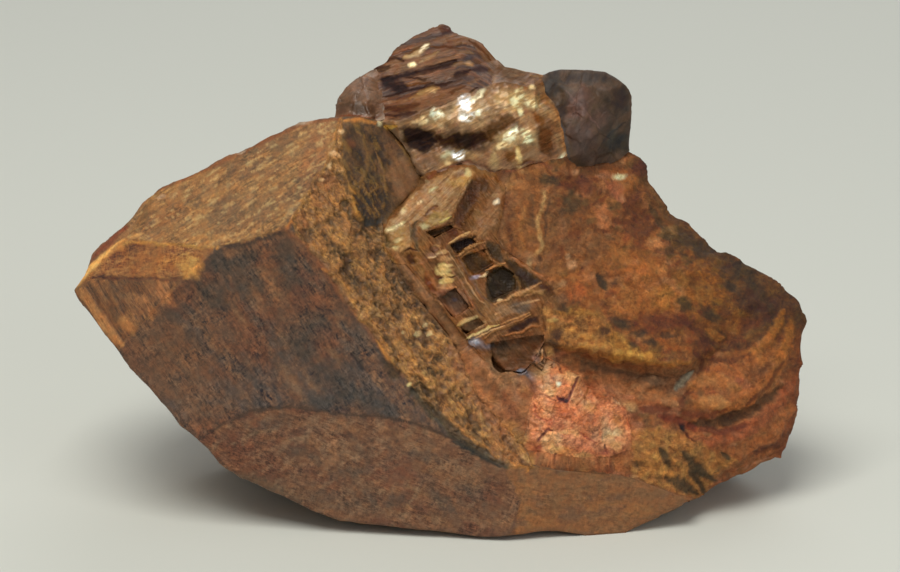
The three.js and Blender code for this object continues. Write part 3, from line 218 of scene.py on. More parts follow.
class Front(Coat):
    """what is on the front, at face places x, y; n is the surface's own direction there (across, up, out)"""
    def __init__(s, x, y, n):
        super().__init__(len(x), (152, 98, 60), (112, 68, 42))
        s.x, s.y, s.n = x, y, n
        s.wx = x + 2.0 * fbm(x / 9, y / 9, octaves=3, seed=5); s.wy = y + 2.0 * fbm(x / 9, y / 9, octaves=3, seed=6)
        s.grain = 1.6 * fbm(x / 6, y / 6, octaves=3, seed=8)

    def near(s, x0, y0, x1, y1):
        return np.nonzero((s.wx > x0) & (s.wx < x1) & (s.wy > y0) & (s.wy < y1))[0]

    def spot(s, cx, cy, rx, ry=None, deg=0, ragged=0.5, edge=0.45):
        ry = ry or rx
        R = max(rx, ry) * 1.9
        i = s.near(cx - R, cy - R, cx + R, cy + R)
        a, b = turned(s.wx[i] - cx, s.wy[i] - cy, deg, rx, ry)
        return i, smooth(1 + edge, 1 - edge, np.hypot(a, b) + 0.4 * ragged * s.grain[i])

    def stroke(s, pts, width, ragged=0.3, soft=0.5, taper=0.6):
        p = np.asarray(pts, float); reach = width * 1.4 + 3
        i = s.near(p[:, 0].min() - reach, p[:, 1].min() - reach, p[:, 0].max() + reach, p[:, 1].max() + reach)
        d, t = line(p, s.wx[i], s.wy[i], reach)
        half = width / 2 * (1 - taper * np.abs(2 * t - 1) ** 3)
        return i, smooth(1 + soft, 1 - soft, d / half + 0.4 * ragged * s.grain[i])

    def patch(s, poly, soft=1.5, ragged=0.5):
        p = np.asarray(poly, float); q = soft * 2 + 4
        i = s.near(p[:, 0].min() - q, p[:, 1].min() - q, p[:, 0].max() + q, p[:, 1].max() + q)
        return i, smooth(soft, -soft, area(p, s.wx[i], s.wy[i]) + ragged * 1.4 * s.grain[i])

    def streaked(s, mask, deg, along, across, seed, lo, hi, octaves=3):
        """the part of a mask where a streaky noise lies above lo"""
        i, m = mask
        a, b = turned(s.x[i], s.y[i], deg, along, across)
        return i, m * smooth(lo, hi, fbm(a, b, octaves=octaves, seed=seed))

    def swell(s, mask, deg, along, across, seed, height, octaves=3, ridged=False):
        i, m = mask
        a, b = turned(s.x[i], s.y[i], deg, along, across)
        s.rise[i] += height * m * fbm(a, b, octaves=octaves, seed=seed, ridged=ridged)

    def run(s, mask, deg, along, across, seed):
        """lays the pattern's direction"""
        i = mask[0][mask[1] > 0.5]
        a, b = turned(s.x[i], s.y[i], deg, along, across)
        s.flow[i] = np.stack([a, b, np.full(len(i), 5.37 * seed)], 1)

    def tone(s, mask, gain, contrast=1.0, fine=1.0):
        """evens a region out about its mean shade, turns that shade, and sets how strongly the fine pattern shows"""
        i, m = mask
        if m.sum() < 5:
            return
        mean = ((s.tint[i] + s.dark[i]) / 2 * m[:, None]).sum(0) / m.sum()
        own, half = (s.tint[i] + s.dark[i]) / 2, (s.tint[i] - s.dark[i]) / 2
        for a, sign in ((s.tint, 1), (s.dark, -1)):
            a[i] += (np.maximum((mean + (own - mean) * contrast + sign * half * fine) * gain, 0.004) - a[i]) * m[:, None]

    def veins(s, mask, deg, along, across, seed, width, tint, dark=None, rise=0.0, amount=1.0):
        """a network of lines round scattered cells"""
        i, m = mask
        a, b = turned(s.wx[i], s.wy[i], deg, along, across)
        a = a + 0.35 * fbm(a * 1.7, b * 1.7, octaves=2, seed=seed + 3); b = b + 0.35 * fbm(a * 1.7, b * 1.7, octaves=2, seed=seed + 4)
        f1, f2, _ = cells(a, b, seed=seed)[:3]
        k = smooth(width, width * 0.25, f2 - f1)
        s.lay((i, m * k), tint, dark, amount=amount)
        s.rise[i] += rise * m * (k - 0.4)

    def flakes(s, mask, size, seed, tilt, edge=0.0):
        """broken into small planes, each leaning its own way"""
        i, m = mask
        f1, f2, cid, ox, oy = cells(s.wx[i] / size, s.wy[i] / size, seed=seed)
        tx, ty = np.cos(cid * 57.0), np.sin(cid * 91.0)
        s.rise[i] += m * (size * STEP * tilt * (tx * ox + ty * oy) - edge * smooth(0.12, 0.0, f2 - f1))
        return cid

    def glint(s, cx, cy, rx, ry=None, deg=0, tint=(255, 250, 235), power=0.6, gloss=0.8, metal=0.3, edge=0.6, ragged=0.9, broken=None):
        """a small sheet that leans, by power from 0 to 1, to where the key light shines on it, and carries a painted
        highlight in its tint
        """
        i, m = s.spot(cx, cy, rx, ry, deg, ragged=ragged, edge=edge)
        if not len(i):
            return
        if broken is not None:  # split up along a direction
            a, b = turned(s.x[i], s.y[i], broken, 9, 2.6)
            m = m * smooth(-0.45, -0.05, fbm(a, b, octaves=2, seed=77))
        inner = m > 0.5
        nn = s.n[i[inner]].mean(0) if inner.any() else s.n[i].mean(0)
        slope = (GLINT + nn[:2] / max(nn[2], 0.2)) * power
        s.rise[i] += m * (STEP * ((s.x[i] - cx) * slope[0] - (s.y[i] - cy) * slope[1]) - s.rise[i] * power)
        s.lay((i, m), tint, [0.9 * c for c in tint], gloss=gloss, metal=metal * power, depth=0.15, net=0)

# ------------------------------------------------------------------ the crystal
def paint_crystal(s):
    whole = s.near(0, 0, 900, 600)
    A, B, C, D, E, X, F, G = [s.patch(q, 1.3, 0.35) for q in (CRYSTAL_A, CRYSTAL_B, CRYSTAL_C, CRYSTAL_D, CRYSTAL_E, CRYSTAL_X, CRYSTAL_F, CRYSTAL_G)]
    # broad face D: dark, mottled blue-grey and rust, streaks running steeply down to the right
    s.lay(D, (112, 88, 66), (62, 55, 50), gloss=0.42, net=0, depth=0.55); s.run(D, -55, 8, 3.0, 1)
    s.lay(s.streaked(D, -55, 40, 16, 101, 0.05, 0.35), (86, 80, 72), (48, 48, 48), amount=0.8)
    s.lay(s.streaked(D, -50, 34, 14, 102, 0.12, 0.4), (108, 76, 56), (74, 52, 42), amount=0.5)
    s.lay(s.streaked(D, -55, 22, 7, 103, 0.2, 0.45), (132, 106, 78), (90, 73, 56), amount=0.45)
    s.swell(D, -55, 26, 9, 104, 0.07)
    for cx, cy, rx, ry, deg in ((228,262,24,14,10),(203,292,19,7,-50),(172,317,9,6,0),(222,303,10,6,-50),(300,346,24,11,-52),(272,366,9,13,10),(312,326,14,20,0),(332,378,20,12,-30),(218,400,13,7,-20),(326,402,28,8,0),(247,283,16,8,-30),(286,256,12,14,0),(193,338,12,5,-50),(244,372,12,6,-50),(292,288,16,9,-60),(352,392,20,9,-20),(375,405,22,8,-25)):
        s.lay(s.spot(cx, cy, rx, ry, deg, 1.1, 0.7), (74, 71, 64), (45, 45, 44), gloss=0.45, amount=0.8)
    for cx, cy, rx, ry, deg in ((248,335,24,20,-60),(262,350,26,8,-60),(226,440,34,24,-20),(296,302,13,15,0),(322,300,10,9,0),(136,358,18,12,-50),(325,344,15,9,-60),(160,390,16,10,-50),(270,318,16,8,-60),(205,372,18,8,-50),(232,468,26,9,-30)):
        s.lay(s.spot(cx, cy, rx, ry, deg, 1.4, 0.9), (110, 78, 58), (76, 54, 42), amount=0.6)
    for cx, cy, rx, ry, deg in ((235,253,10,4,15),(264,270,13,6,-15),(287,376,15,5,-58),(300,395,12,5,-60),(246,398,14,4,-58),(258,300,16,4,-58),(281,338,13,3,-60),(240,318,12,3,-58),(310,384,10,4,-55),(215,345,14,3,-55),(275,292,12,4,-60),(180,360,18,4,-52),(334,356,12,3,-58)):
        s.lay(s.spot(cx, cy, rx, ry, deg, 1.2, 0.9), (142, 112, 80), (102, 82, 60), amount=0.42)
    s.lay(s.spot(175, 368, 70, 34, -48, 0.8, .8), (112, 86, 62), (78, 62, 48), amount=0.75)
    s.lay(s.stroke([(350,352),(357,362),(366,373)], 3.5), (56, 50, 46), (44, 40, 38), rise=-0.12)
    s.lay(s.stroke([(219,249),(247,243),(270,236),(287,232)], 5), (66, 58, 48), (50, 44, 38), amount=0.9)
    s.lay(s.stroke([(300,240),(318,262),(337,292),(356,318)], 7), (66, 60, 58), (46, 44, 46), amount=0.7)
    # E: brown, fine short striations running slightly down to the right
    s.lay(E, (140, 100, 66), (90, 62, 42), gloss=0.4, net=0, depth=0.6); s.run(E, -20, 7, 2.2, 2)
    s.lay(s.streaked(E, -17, 38, 9, 111, 0.0, 0.4), (158, 116, 74), (108, 76, 50), amount=0.7)
    s.lay(s.streaked(E, -20, 30, 14, 112, 0.1, 0.4), (124, 80, 54), (80, 54, 38), amount=0.7)
    s.lay(s.spot(245, 455, 42, 20, -20, 0.9), (126, 78, 50), (84, 52, 36), amount=0.7)
    s.lay(s.spot(265, 487, 30, 9, -22, 0.9), (112, 88, 60), (80, 64, 46), amount=0.7)
    s.lay(s.spot(395, 470, 26, 18, 0, 0.9), (134, 84, 56), (92, 58, 42), amount=0.6)
    s.lay(s.spot(330, 500, 60, 10, -8, 0.8), (118, 92, 64), (86, 66, 48), amount=0.6)
    s.swell(E, -17, 26, 8, 113, 0.06)
    hatch = s.spot(345, 447, 75, 26, 5, 0.8, 0.7)
    s.lay(s.streaked(hatch, 28, 15, 3.2, 114, 0.1, 0.4, 2), (168, 126, 84), (124, 90, 60), amount=0.7)
    s.lay(s.streaked(hatch, -38, 14, 3.4, 115, 0.15, 0.45, 2), (94, 68, 48), (70, 52, 40), amount=0.7)
    s.lay(s.streaked(E, 40, 16, 5, 116, 0.25, 0.5, 2), (160, 120, 80), (116, 86, 58), amount=0.5)
    for cx, cy, rx, ry, deg in ((372,496,16,6,-30),(300,452,14,5,-10),(442,500,18,6,-40),(420,455,20,5,-12),(270,425,18,5,15),(470,492,14,8,-30),(352,472,20,5,8),(396,500,9,7,0)):
        s.lay(s.spot(cx, cy, rx, ry, deg, 1.1, 0.7), (104, 84, 62), (74, 60, 46), amount=0.6)
    for pts in (((404,484),(424,492),(446,506)),((418,486),(412,500),(404,514)),((280,444),(300,438),(322,436)),((232,444),(258,432),(286,430))):
        s.lay(s.stroke(pts, 2.4, ragged=0.8), (164, 126, 84), (124, 94, 62), amount=0.6)
    s.lay(s.stroke([(200,440),(214,430),(250,411),(290,407),(330,413),(385,417),(428,427),(455,440),(488,458)], 3.2, taper=0.2), (74, 60, 46), (56, 46, 38), amount=0.8, rise=-0.04)
    # X: smoother brown underface
    s.lay(X, (136, 98, 68), (98, 70, 50), gloss=0.4, net=0, depth=0.4); s.run(X, -8, 9, 3.2, 3)
    s.lay(s.streaked(X, -5, 40, 11, 121, 0.05, 0.4), (150, 106, 68), (112, 78, 52), amount=0.7)
    s.lay(s.streaked(X, 15, 26, 10, 122, 0.15, 0.4), (120, 88, 68), (88, 66, 54), amount=0.6)
    s.swell(X, -5, 26, 10, 123, 0.06)
    # C: closely striated, the grooves running steeply down to the right
    s.lay(C, (156, 112, 66), (84, 64, 46), gloss=0.4, net=0, depth=0.8); s.run(C, -58, 30, 3.0, 4)
    s.lay(s.streaked(C, -58, 30, 5, 131, 0.05, 0.3), (96, 76, 54), (70, 58, 44), amount=0.7)
    s.lay(s.streaked(C, -58, 34, 4, 132, 0.15, 0.4), (186, 134, 74), (130, 94, 56), amount=0.8)
    s.lay(s.spot(161, 290, 15, 9, -45, 0.7), (178, 130, 80), (142, 102, 64), depth=0.3, amount=0.9)
    s.lay(s.spot(110, 292, 18, 8, -10, 0.8), (116, 92, 62), (80, 66, 48), amount=0.6)
    s.lay(s.spot(127, 325, 9, 6, -60, 0.5), (214, 156, 84), (176, 122, 66), amount=0.9)
    s.lay(s.spot(145, 305, 14, 7, -58, 0.7), (180, 130, 76), (130, 94, 58), amount=0.7)
    s.lay(s.stroke([(80,290),(88,302),(102,323),(122,345)], 9, ragged=0.6), (208, 154, 88), (166, 118, 66), depth=0.4, rise=0.04)
    s.lay(s.stroke([(96,300),(110,322),(124,340)], 3), (110, 78, 50), (84, 60, 42), amount=0.8, rise=-0.05)
    # A: the golden top face, covered with short dashes running up to the right
    s.lay(A, (190, 142, 82), (118, 90, 54), gloss=0.4, net=0, depth=0.75); s.run(A, 31, 8, 2.2, 5)
    s.lay(s.streaked(A, 30, 34, 8, 141, 0.05, 0.35), (206, 154, 84), (140, 104, 58), amount=0.7)
    s.lay(s.streaked(A, 32, 40, 12, 142, 0.08, 0.35), (150, 114, 72), (98, 78, 54), amount=0.75)
    s.lay(s.spot(210, 239, 22, 6, 8, 0.8), (218, 162, 86), (164, 116, 62), amount=0.8)
    s.lay(s.spot(300, 216, 11, 17, -25, 0.8), (122, 104, 78), (92, 80, 62), amount=0.75)
    s.lay(s.spot(250, 212, 46, 13, 24, 0.9), (158, 122, 76), (104, 84, 58), amount=0.6)
    s.lay(s.spot(315, 150, 12, 32, -15, 0.7), (176, 122, 72), (132, 92, 58), depth=0.5, amount=0.7)
    s.lay(s.spot(165, 215, 28, 12, 38, 0.9), (184, 128, 68), (124, 86, 50), amount=0.6)
    s.swell(A, 30, 22, 7, 143, 0.08)
    s.lay(s.streaked(A, 31, 10, 2.2, 144, 0.30, 0.55, 2), (240, 192, 122), (206, 156, 92), gloss=0.5, amount=0.65)
    s.lay(s.streaked(A, 29, 12, 2.6, 145, 0.32, 0.6, 2), (112, 84, 58), (84, 66, 48), amount=0.55)
    s.lay(s.stroke([(150,192),(200,169),(250,147),(281,131),(310,121),(341,117)], 7, ragged=0.6, taper=0.1), (160, 96, 56), (118, 72, 44), amount=0.75)
    s.lay(s.stroke([(152,189),(200,166),(250,143),(281,127),(310,118),(341,113)], 3, ragged=0.4, taper=0.1), (214, 146, 88), (170, 110, 66), amount=0.7)
    # painted highlights: whitish glints on the top rim of A
    for cx, cy, a in ((292,126,.8),(302,123,.9),(310,121,.6),(240,152,.7),(161,196,.6)):
        s.lay(s.spot(cx, cy, 5, 1.5, 24, 0.6), (222, 196, 158), (190, 158, 118), gloss=0.6, amount=a)
    s.lay(s.stroke([(341,117),(337,135),(324,168),(315,184),(296,214),(286,230)], 3.6, taper=0.2), (206, 148, 76), (150, 104, 56), amount=0.85, rise=0.06)
    # B: the brightest, orange-gold face, and its bevel
    s.lay(B, (200, 146, 80), (140, 94, 52), gloss=0.42, net=0, depth=0.7); s.run(B, 6, 7, 3.2, 6)
    s.lay(s.streaked(B, 8, 26, 9, 151, 0.05, 0.35), (168, 112, 62), (118, 78, 46), amount=0.8)
    s.lay(s.spot(190, 266, 11, 11, 0, 0.7), (232, 176, 94), (186, 132, 70), amount=0.9)
    s.lay(s.spot(165, 262, 16, 7, 10, 0.8), (212, 152, 78), (158, 108, 58), amount=0.7)
    s.lay(s.stroke([(92,277),(130,278),(168,279),(183,279)], 3.0, ragged=.8, taper=0.3), (116, 70, 46), (88, 54, 38), rise=-0.03, amount=.8)
    s.lay(s.stroke([(124,242),(150,243),(185,246),(219,248)], 3.2, taper=0.2), (224, 164, 84), (180, 124, 62), amount=0.9, rise=0.05)
    s.lay(s.stroke([(76,286),(92,268),(110,251),(126,240),(140,233)], 6, ragged=0.4, taper=0.4), (226, 166, 94), (196, 136, 72), gloss=0.5, depth=0.3, rise=0.05)
    s.lay(s.stroke([(84,266),(97,249),(113,234),(126,226)], 11, ragged=0.5), (126, 70, 45), (92, 52, 36), gloss=0.45)
    # G: smooth dark olive to brown
    s.lay(G, (128, 96, 62), (78, 62, 40), gloss=0.45, net=0.25, depth=0.6); s.run(G, -60, 9, 4.5, 7)
    s.lay(s.spot(403, 176, 18, 32, 20, 0.7), (154, 112, 74), (120, 87, 60), net=0, depth=0.3, amount=0.9)
    s.lay(s.spot(398, 140, 14, 22, -35, 0.8), (120, 86, 58), (84, 62, 44), net=0, amount=0.7)
    s.lay(s.patch([(354,187),(372,182),(389,190),(392,206),(382,222),(362,226),(354,214)], 2, 0.9), (100, 76, 38), (70, 53, 24), net=0.8, amount=0.9)
    s.veins(s.patch([(350,170),(372,160),(388,185),(386,215),(362,226),(350,200)], 2, 0.8), -60, 9, 6, 161, 0.22, (160, 122, 66), (110, 84, 48), rise=0.07, amount=0.8)
    for q in ((353,130,7,5,-70),(374,137,5,9,-20),(365,205,5,7,0),(381,200,4,6,0),(360,158,9,4,-70),(381,156,12,5,-60),(390,186,8,3,-60),(368,172,8,5,-60),(352,176,7,3,-70),(372,222,8,6,0)):
        s.lay(s.spot(*q, 1.9, .85), (82, 64, 38), (56, 44, 26), amount=0.8, rise=-0.06)
    left = s.patch([(342,120),(362,124),(382,140),(388,165),(392,190),(384,222),(362,228),(352,205),(344,165)], 3, 1.5)
    s.lay(s.streaked(left, -72, 16, 5, 163, .05, .35), (84, 66, 40), (58, 46, 28), rise=-.05, amount=.6)
    s.lay(s.streaked(left, -60, 15, 3.4, 164, .18, .42), (156, 118, 66), (116, 88, 52), rise=.05, amount=.65)
    s.lay(s.spot(351, 143, 4, 4, 0, 0.9, .7), (136, 84, 52), (100, 64, 42), amount=.7)
    s.lay(s.stroke([(343,121),(358,120),(377,123)], 4), (206, 140, 70), (160, 106, 56), rise=0.05)
    # painted highlights: a white glint and a golden streak where G meets the mica
    s.lay(s.spot(381, 121, 3, 4, 0, 0.3), (250, 232, 190), (230, 200, 150), gloss=0.75)
    s.lay(s.stroke([(385,126),(392,127),(398,127)], 4), (240, 186, 96), (206, 150, 70), gloss=0.6)
    s.lay(s.stroke([(363,132),(366,150),(369,168),(362,180),(357,195)], 3, ragged=1.4, soft=.9), (160, 120, 68), (118, 90, 54), rise=0.05, amount=.6)
    s.lay(s.stroke([(396,139),(408,156),(421,177)], 2.6), (176, 134, 84), (140, 106, 68), rise=0.04)
    s.lay(s.stroke([(375,150),(384,172),(386,190)], 2.4), (150, 112, 66), (112, 86, 54), rise=0.04)
    s.swell(G, -60, 14, 8, 162, 0.07)
    # F: the rough strip, golden veins braided over dark pits
    s.lay(F, (204, 148, 72), (88, 64, 38), gloss=0.38, net=0.6, depth=1.0); s.run(F, -52, 14, 6.0, 8)
    s.lay(s.streaked(F, -52, 30, 12, 171, 0.0, 0.3), (96, 80, 48), (54, 46, 32), amount=0.75)
    s.lay(s.streaked(F, -52, 26, 9, 172, 0.1, 0.4), (214, 154, 74), (120, 86, 46), amount=0.7)
    s.veins(F, -52, 24, 12, 173, 0.30, (206, 148, 74), (150, 106, 56), rise=0.18, amount=0.8)
    s.veins(F, -46, 11, 6.5, 174, 0.34, (190, 138, 72), (134, 98, 56), rise=0.12, amount=0.6)
    s.lay(s.patch([(314,178),(326,172),(337,180),(338,198),(326,210),(312,206)], 2, 0.8), (178, 116, 66), (120, 80, 48), amount=0.55)
    s.lay(s.stroke([(300,210),(304,232),(312,253)], 9, ragged=0.7), (180, 114, 62), (124, 80, 48), amount=0.6)
    s.lay(s.stroke([(312,252),(328,273),(344,301),(363,323),(382,348),(404,377)], 6, ragged=1.2, soft=.8, taper=.2), (128, 90, 60), (92, 66, 46), net=.3, amount=.7)
    s.lay(s.stroke([(287,231),(302,242),(319,257),(333,276),(348,300),(360,318)], 7.5, ragged=1.2, soft=.8, taper=0.4), (148, 102, 62), (108, 74, 48), rise=0.07, amount=.6)
    s.lay(s.stroke([(303,240),(320,256),(336,280),(349,302),(362,322)], 3, ragged=1.4, soft=.8, taper=0.4), (168, 120, 70), (130, 92, 56), rise=0.05, amount=.45)
    for pts in (((339,171),(346,182),(356,195)),((335,227),(346,244),(360,258)),((322,268),(336,276),(346,290),(353,305)),((365,282),(360,296),(352,305)),((365,282),(362,268),(350,254),(340,242)),((372,262),(384,276),(392,292)),((352,196),(356,212),(366,228)),((330,196),(342,210),(350,226)),((360,318),(374,330),(388,346)),((392,300),(402,318),(412,330)),((376,340),(392,360),(404,372)),((405,352),(420,372),(432,392)),((420,330),(434,348),(446,366)),((436,360),(452,378),(462,396)),((446,396),(458,412),(474,428)),((470,400),(480,418),(492,430)),((404,330),(396,342),(400,356)),((440,340),(428,350),(424,366)),((484,430),(494,444),(508,452))):
        s.lay(s.stroke(pts, 4.2, ragged=1.1, soft=0.8), (214, 154, 74), (160, 112, 56), rise=0.13, amount=0.85)
    for q in ((370,228,13,9,0),(347,260,6,11,-20),(368,290,15,6,-52),(402,290,14,9,-52),(437,357,9,7,0),(445,379,10,7,-20),(396,317,11,6,-50),(410,341,8,6,0),(427,400,16,8,-50),(383,308,10,5,-50),(352,280,8,4,-50),(378,252,6,7,0),(386,240,8,5,-50),(336,246,8,4,-50),(458,396,8,7,-50),(474,416,7,9,-40),(392,372,9,5,-50),(414,388,10,7,-50),(356,236,5,6,0),(345,205,8,4,-70),(330,222,7,4,-50),(424,322,10,5,-52)):
        s.lay(s.spot(*q, 1.7, .75), (74, 62, 40), (48, 42, 28), net=0.5, rise=-0.22, amount=0.85)
    s.lay(s.streaked(F, -52, 22, 8, 177, 0.12, 0.42), (84, 70, 46), (54, 46, 32), rise=-0.12, amount=0.7)
    s.veins(F, -58, 15, 8, 176, 0.24, (192, 140, 76), (140, 102, 58), rise=0.12, amount=0.6)
    lower = F[0], F[1] * smooth(285, 320, s.y[F[0]])
    s.lay(s.streaked(lower, -52, 15, 8, 178, .08, .3), (76, 60, 40), (50, 40, 28), rise=-.10, amount=.65)
    s.lay(s.streaked(lower, -45, 12, 6, 179, .15, .4), (230, 168, 90), (172, 122, 64), rise=.08, amount=.6)
    for q, c, a in (((345,266,6,12,-25),(84,62,38),.8), ((325,176,7,6,0),(120,76,50),.7), ((360,250,9,6,-45),(132,94,58),.6), ((441,400,13,8,-50),(92,64,40),.7), ((397,330,9,7,-50),(150,104,60),.6), ((310,215,9,8,0),(150,96,56),.5), ((405,350,10,6,-50),(224,156,80),.6), ((350,230,6,5,0),(200,142,80),.6)):
        s.lay(s.spot(*q, 1.6, .85), c, amount=a)
    s.lay(s.stroke([(455,350),(466,372),(478,392),(490,412),(502,432)], 20, ragged=1.4, soft=.9, taper=.3), (172, 112, 68), (126, 82, 52), net=.2, depth=.7, amount=.6)
    s.lay(s.stroke([(392,262),(404,282),(418,302),(432,318),(444,334)], 7, ragged=0.8), (98, 74, 48), (62, 48, 34), amount=0.7, rise=-0.10)
    s.lay(s.stroke([(412,392),(432,412),(452,430),(478,448),(506,467)], 11, ragged=0.7, taper=0.5), (76, 70, 50), (50, 48, 38), net=0.2, amount=0.9, rise=-0.10)
    s.lay(s.stroke([(452,440),(478,456),(500,468)], 4), (60, 56, 42), (44, 42, 34), amount=0.9)
    s.lay(s.stroke([(448,418),(470,436),(500,456),(528,470)], 4, ragged=0.6), (198, 140, 68), (150, 104, 54), amount=0.8, rise=0.06)
    s.lay(s.spot(505, 448, 18, 12, -40, 0.8), (160, 108, 62), (112, 76, 46), amount=0.6)
    # painted highlights: small glints on the rough strip F
    for cx, cy, r in ((418,334,3),(409,385,2.6),(431,333,3),(425,325,2.2),(404,332,2)):
        s.lay(s.spot(cx, cy, r, r * 0.8, 20, 0.5), (244, 214, 146), (214, 172, 108), gloss=0.8)

    for mask, gain, contrast, fine in ((A, (.565,.53,.59), .95, 1.3), (B, (.465,.41,.44), 1.5, 1.7), (C, (.54,.485,.56), .85, 1.7), (D, (.865,.73,.705), 1.0, 1.7), (E, (.66,.68,.86), 1.05, 1.45), (X, (.88,.81,.70), 1.05, 1.1), (F, (.63,.62,.765), .88, 1.35), (G, (.515,.495,.475), 1.15, 1.15)):
        s.tone(mask, gain, contrast, fine)
    for (i, m), g in (((D[0], D[1] * smooth(330, 290, s.y[D[0]])), (1.03,.95,.88)), ((D[0], D[1] * smooth(345, 385, s.y[D[0]])), (1.0,1.05,1.13)), ((F[0], F[1] * smooth(280, 310, s.y[F[0]])), (1.09,1.08,1.08))):
        k = 1 + (np.array(g) - 1) * m[:, None]
        s.tint[i] *= k; s.dark[i] *= k
    # painted highlights: glints along the edge between A and F, laid after the tones
    for cx, cy, r in ((341,132,3),(333,154,3.2),(338,155,2.8),(329,166,2.6),(321,179,2)):
        s.lay(s.spot(cx, cy, r, 0.8 * r, 30, 0.5, .6), (200, 164, 118), (170, 134, 92), gloss=0.65, net=0, amount=0.9)
    s.lay(s.spot(287, 230, 6, 5, 0, .8, .8), (92, 64, 46), (74, 52, 38), amount=.7)
    s.lay(s.stroke([(294,238),(312,254),(326,269),(341,292)], 5, ragged=1.2, soft=.9), (103, 70, 48), (84, 58, 41), amount=.5)

# ------------------------------------------------------------------ the matrix
def paint_rock(s):
    whole = (np.arange(len(s.x)), np.ones(len(s.x)))
    s.run(whole, 0, 6.0, 6.0, 20); s.lay(whole, gloss=0.22, depth=0.7, net=0.15)
    s.lay(s.streaked(whole, -20, 46, 30, 201, 0.05, 0.35, 4), (164, 104, 60), (122, 74, 44), amount=0.8)
    s.lay(s.streaked(whole, 30, 40, 26, 202, 0.10, 0.4, 4), (128, 80, 52), (92, 58, 40), amount=0.8)
    s.lay(s.streaked(whole, -30, 16, 9, 203, 0.12, 0.4, 4), (178, 118, 72), (134, 86, 52), amount=0.6)
    s.lay(s.streaked(whole, 60, 13, 9, 204, 0.15, 0.4, 4), (112, 72, 48), (82, 54, 38), amount=0.6)
    s.lay(s.streaked(whole, 20, 15, 10, 207, 0.22, 0.5, 3), (104, 86, 56), (78, 64, 44), amount=0.5)
    s.lay(s.streaked(whole, -10, 16, 10, 208, 0.22, 0.5, 3), (198, 136, 100), (150, 100, 74), amount=0.45)
    s.lay(s.streaked(whole, 45, 14, 9, 209, 0.26, 0.52, 3), (128, 62, 40), (94, 48, 32), amount=0.5)
    s.swell(whole, 0, 26, 20, 205, 0.30, 4); s.swell(whole, -25, 11, 7, 206, 0.10, 3, True)
    # darker, greener outer flank on the right
    s.lay(s.patch([(640,150),(672,200),(705,240),(770,275),(815,310),(815,340),(760,335),(735,300),(705,262),(668,232),(648,200),(636,170)], 9, 1.5), (104, 74, 44), (70, 52, 32), amount=0.75)
    s.lay(s.patch([(770,330),(815,330),(815,470),(765,470),(785,420),(788,370)], 8, 1.2), (124, 70, 42), (86, 48, 30), amount=0.75)
    # upper part, under the quartz
    for q, c, a in (((578,186,22,9,-10),(116,64,44),.8),((552,180,10,5,0),(84,66,44),.8),((640,168,8,10,0),(92,52,30),.8),((570,204,9,14,0),(98,78,56),.75),((556,216,9,8,0),(120,82,58),.6),
                    ((603,219,8,12,0),(212,136,92),.9),((602,232,9,2.4,0),(110,60,40),.8),((616,190,10,8,-50),(176,108,82),.7),((634,208,15,9,-20),(112,66,40),.8),((640,224,13,15,-20),(112,66,38),.8),((640,244,9,7,0),(120,68,40),.75),
                    ((655,243,7,5,0),(196,134,90),.85),((669,233,9,5,0),(160,122,84),.8),((622,198,4,4,0),(206,142,108),.8),((688,240,13,8,-30),(84,64,40),.85),((670,253,7,5,0),(86,64,42),.8),((700,252,10,6,-30),(80,62,40),.75),
                    ((646,262,12,8,-30),(172,106,60),.6),((590,240,12,8,0),(176,118,78),.6),((575,245,10,7,0),(158,108,74),.6),((606,244,10,6,0),(128,88,60),.6),((664,300,12,12,0),(176,116,64),.75),((640,272,20,12,0),(160,98,58),.6),
                    ((660,270,6,5,0),(188,128,84),.7),((622,256,16,5,-35),(184,118,68),.7),((580,292,9,10,-20),(178,98,56),.75),((560,300,7,6,0),(120,92,76),.7),((572,264,4,4,0),(210,160,124),.85),((569,257,3,3,0),(202,156,122),.8),((562,283,4,3,0),(200,150,112),.8),
                    ((676,272,7,8,0),(138,92,56),.6),((708,276,14,9,-30),(170,106,58),.7),((720,296,13,8,-10),(166,104,58),.7),((700,300,14,6,-30),(172,110,62),.6),((684,304,6,9,0),(72,60,42),.9),((711,315,11,5,-25),(78,62,46),.85),((730,286,6,6,0),(76,62,44),.85),
                    ((741,270,9,9,-40),(80,66,38),.75),((752,300,14,12,-40),(92,62,40),.7),((770,310,12,16,-30),(96,60,38),.7),((690,282,7,6,0),(128,84,50),.6),((750,322,18,6,-10),(118,70,44),.7),((622,324,11,5,-8),(74,62,50),.9),((665,322,26,9,0),(112,60,40),.85),
                    ((640,306,16,7,0),(166,106,64),.6),((595,312,14,6,0),(158,104,62),.6),((600,262,18,10,0),(166,106,64),.55),((560,236,9,9,0),(170,112,78),.6),((548,262,8,8,0),(124,74,52),.7),((556,250,6,10,0),(118,62,42),.7),((713,251,4,2.4,-10),(40,34,24),.95),((615,283,3.4,3,0),(92,60,42),.9),((790,300,8,16,-30),(112,72,44),.6)):
        s.lay(s.spot(*q, 1.0), c, amount=a)
    s.lay(s.stroke([(597,275),(602,282),(607,289)], 8, ragged=0.7), (80, 62, 46), (58, 46, 36), rise=-0.12)
    s.lay(s.stroke([(596,178),(606,176),(620,177)], 6), (190, 130, 98), (150, 96, 70), amount=0.8)
    # painted highlight on the rim below the smoky quartz
    s.lay(s.spot(620, 177, 7, 3, 15, 0.3), (246, 226, 186), (226, 196, 152), gloss=0.7, rise=0.05)
    s.lay(s.spot(575, 172, 4, 2.4, 0, 0.3), (206, 150, 112), (176, 122, 88))
    s.lay(s.stroke([(604,180),(612,190),(622,203)], 5), (176, 108, 82), (140, 82, 60), amount=0.7)
    for pts, w in (([(650,205),(672,240),(690,262)], 6), ([(660,235),(690,243),(720,250),(742,268),(760,290),(776,320)], 10), ([(700,305),(712,320),(726,340)], 6), ([(741,256),(752,275),(756,292)], 7)):
        s.lay(s.stroke(pts, w, ragged=1.0), (88, 68, 44), (62, 50, 34), amount=0.65, rise=-0.06)
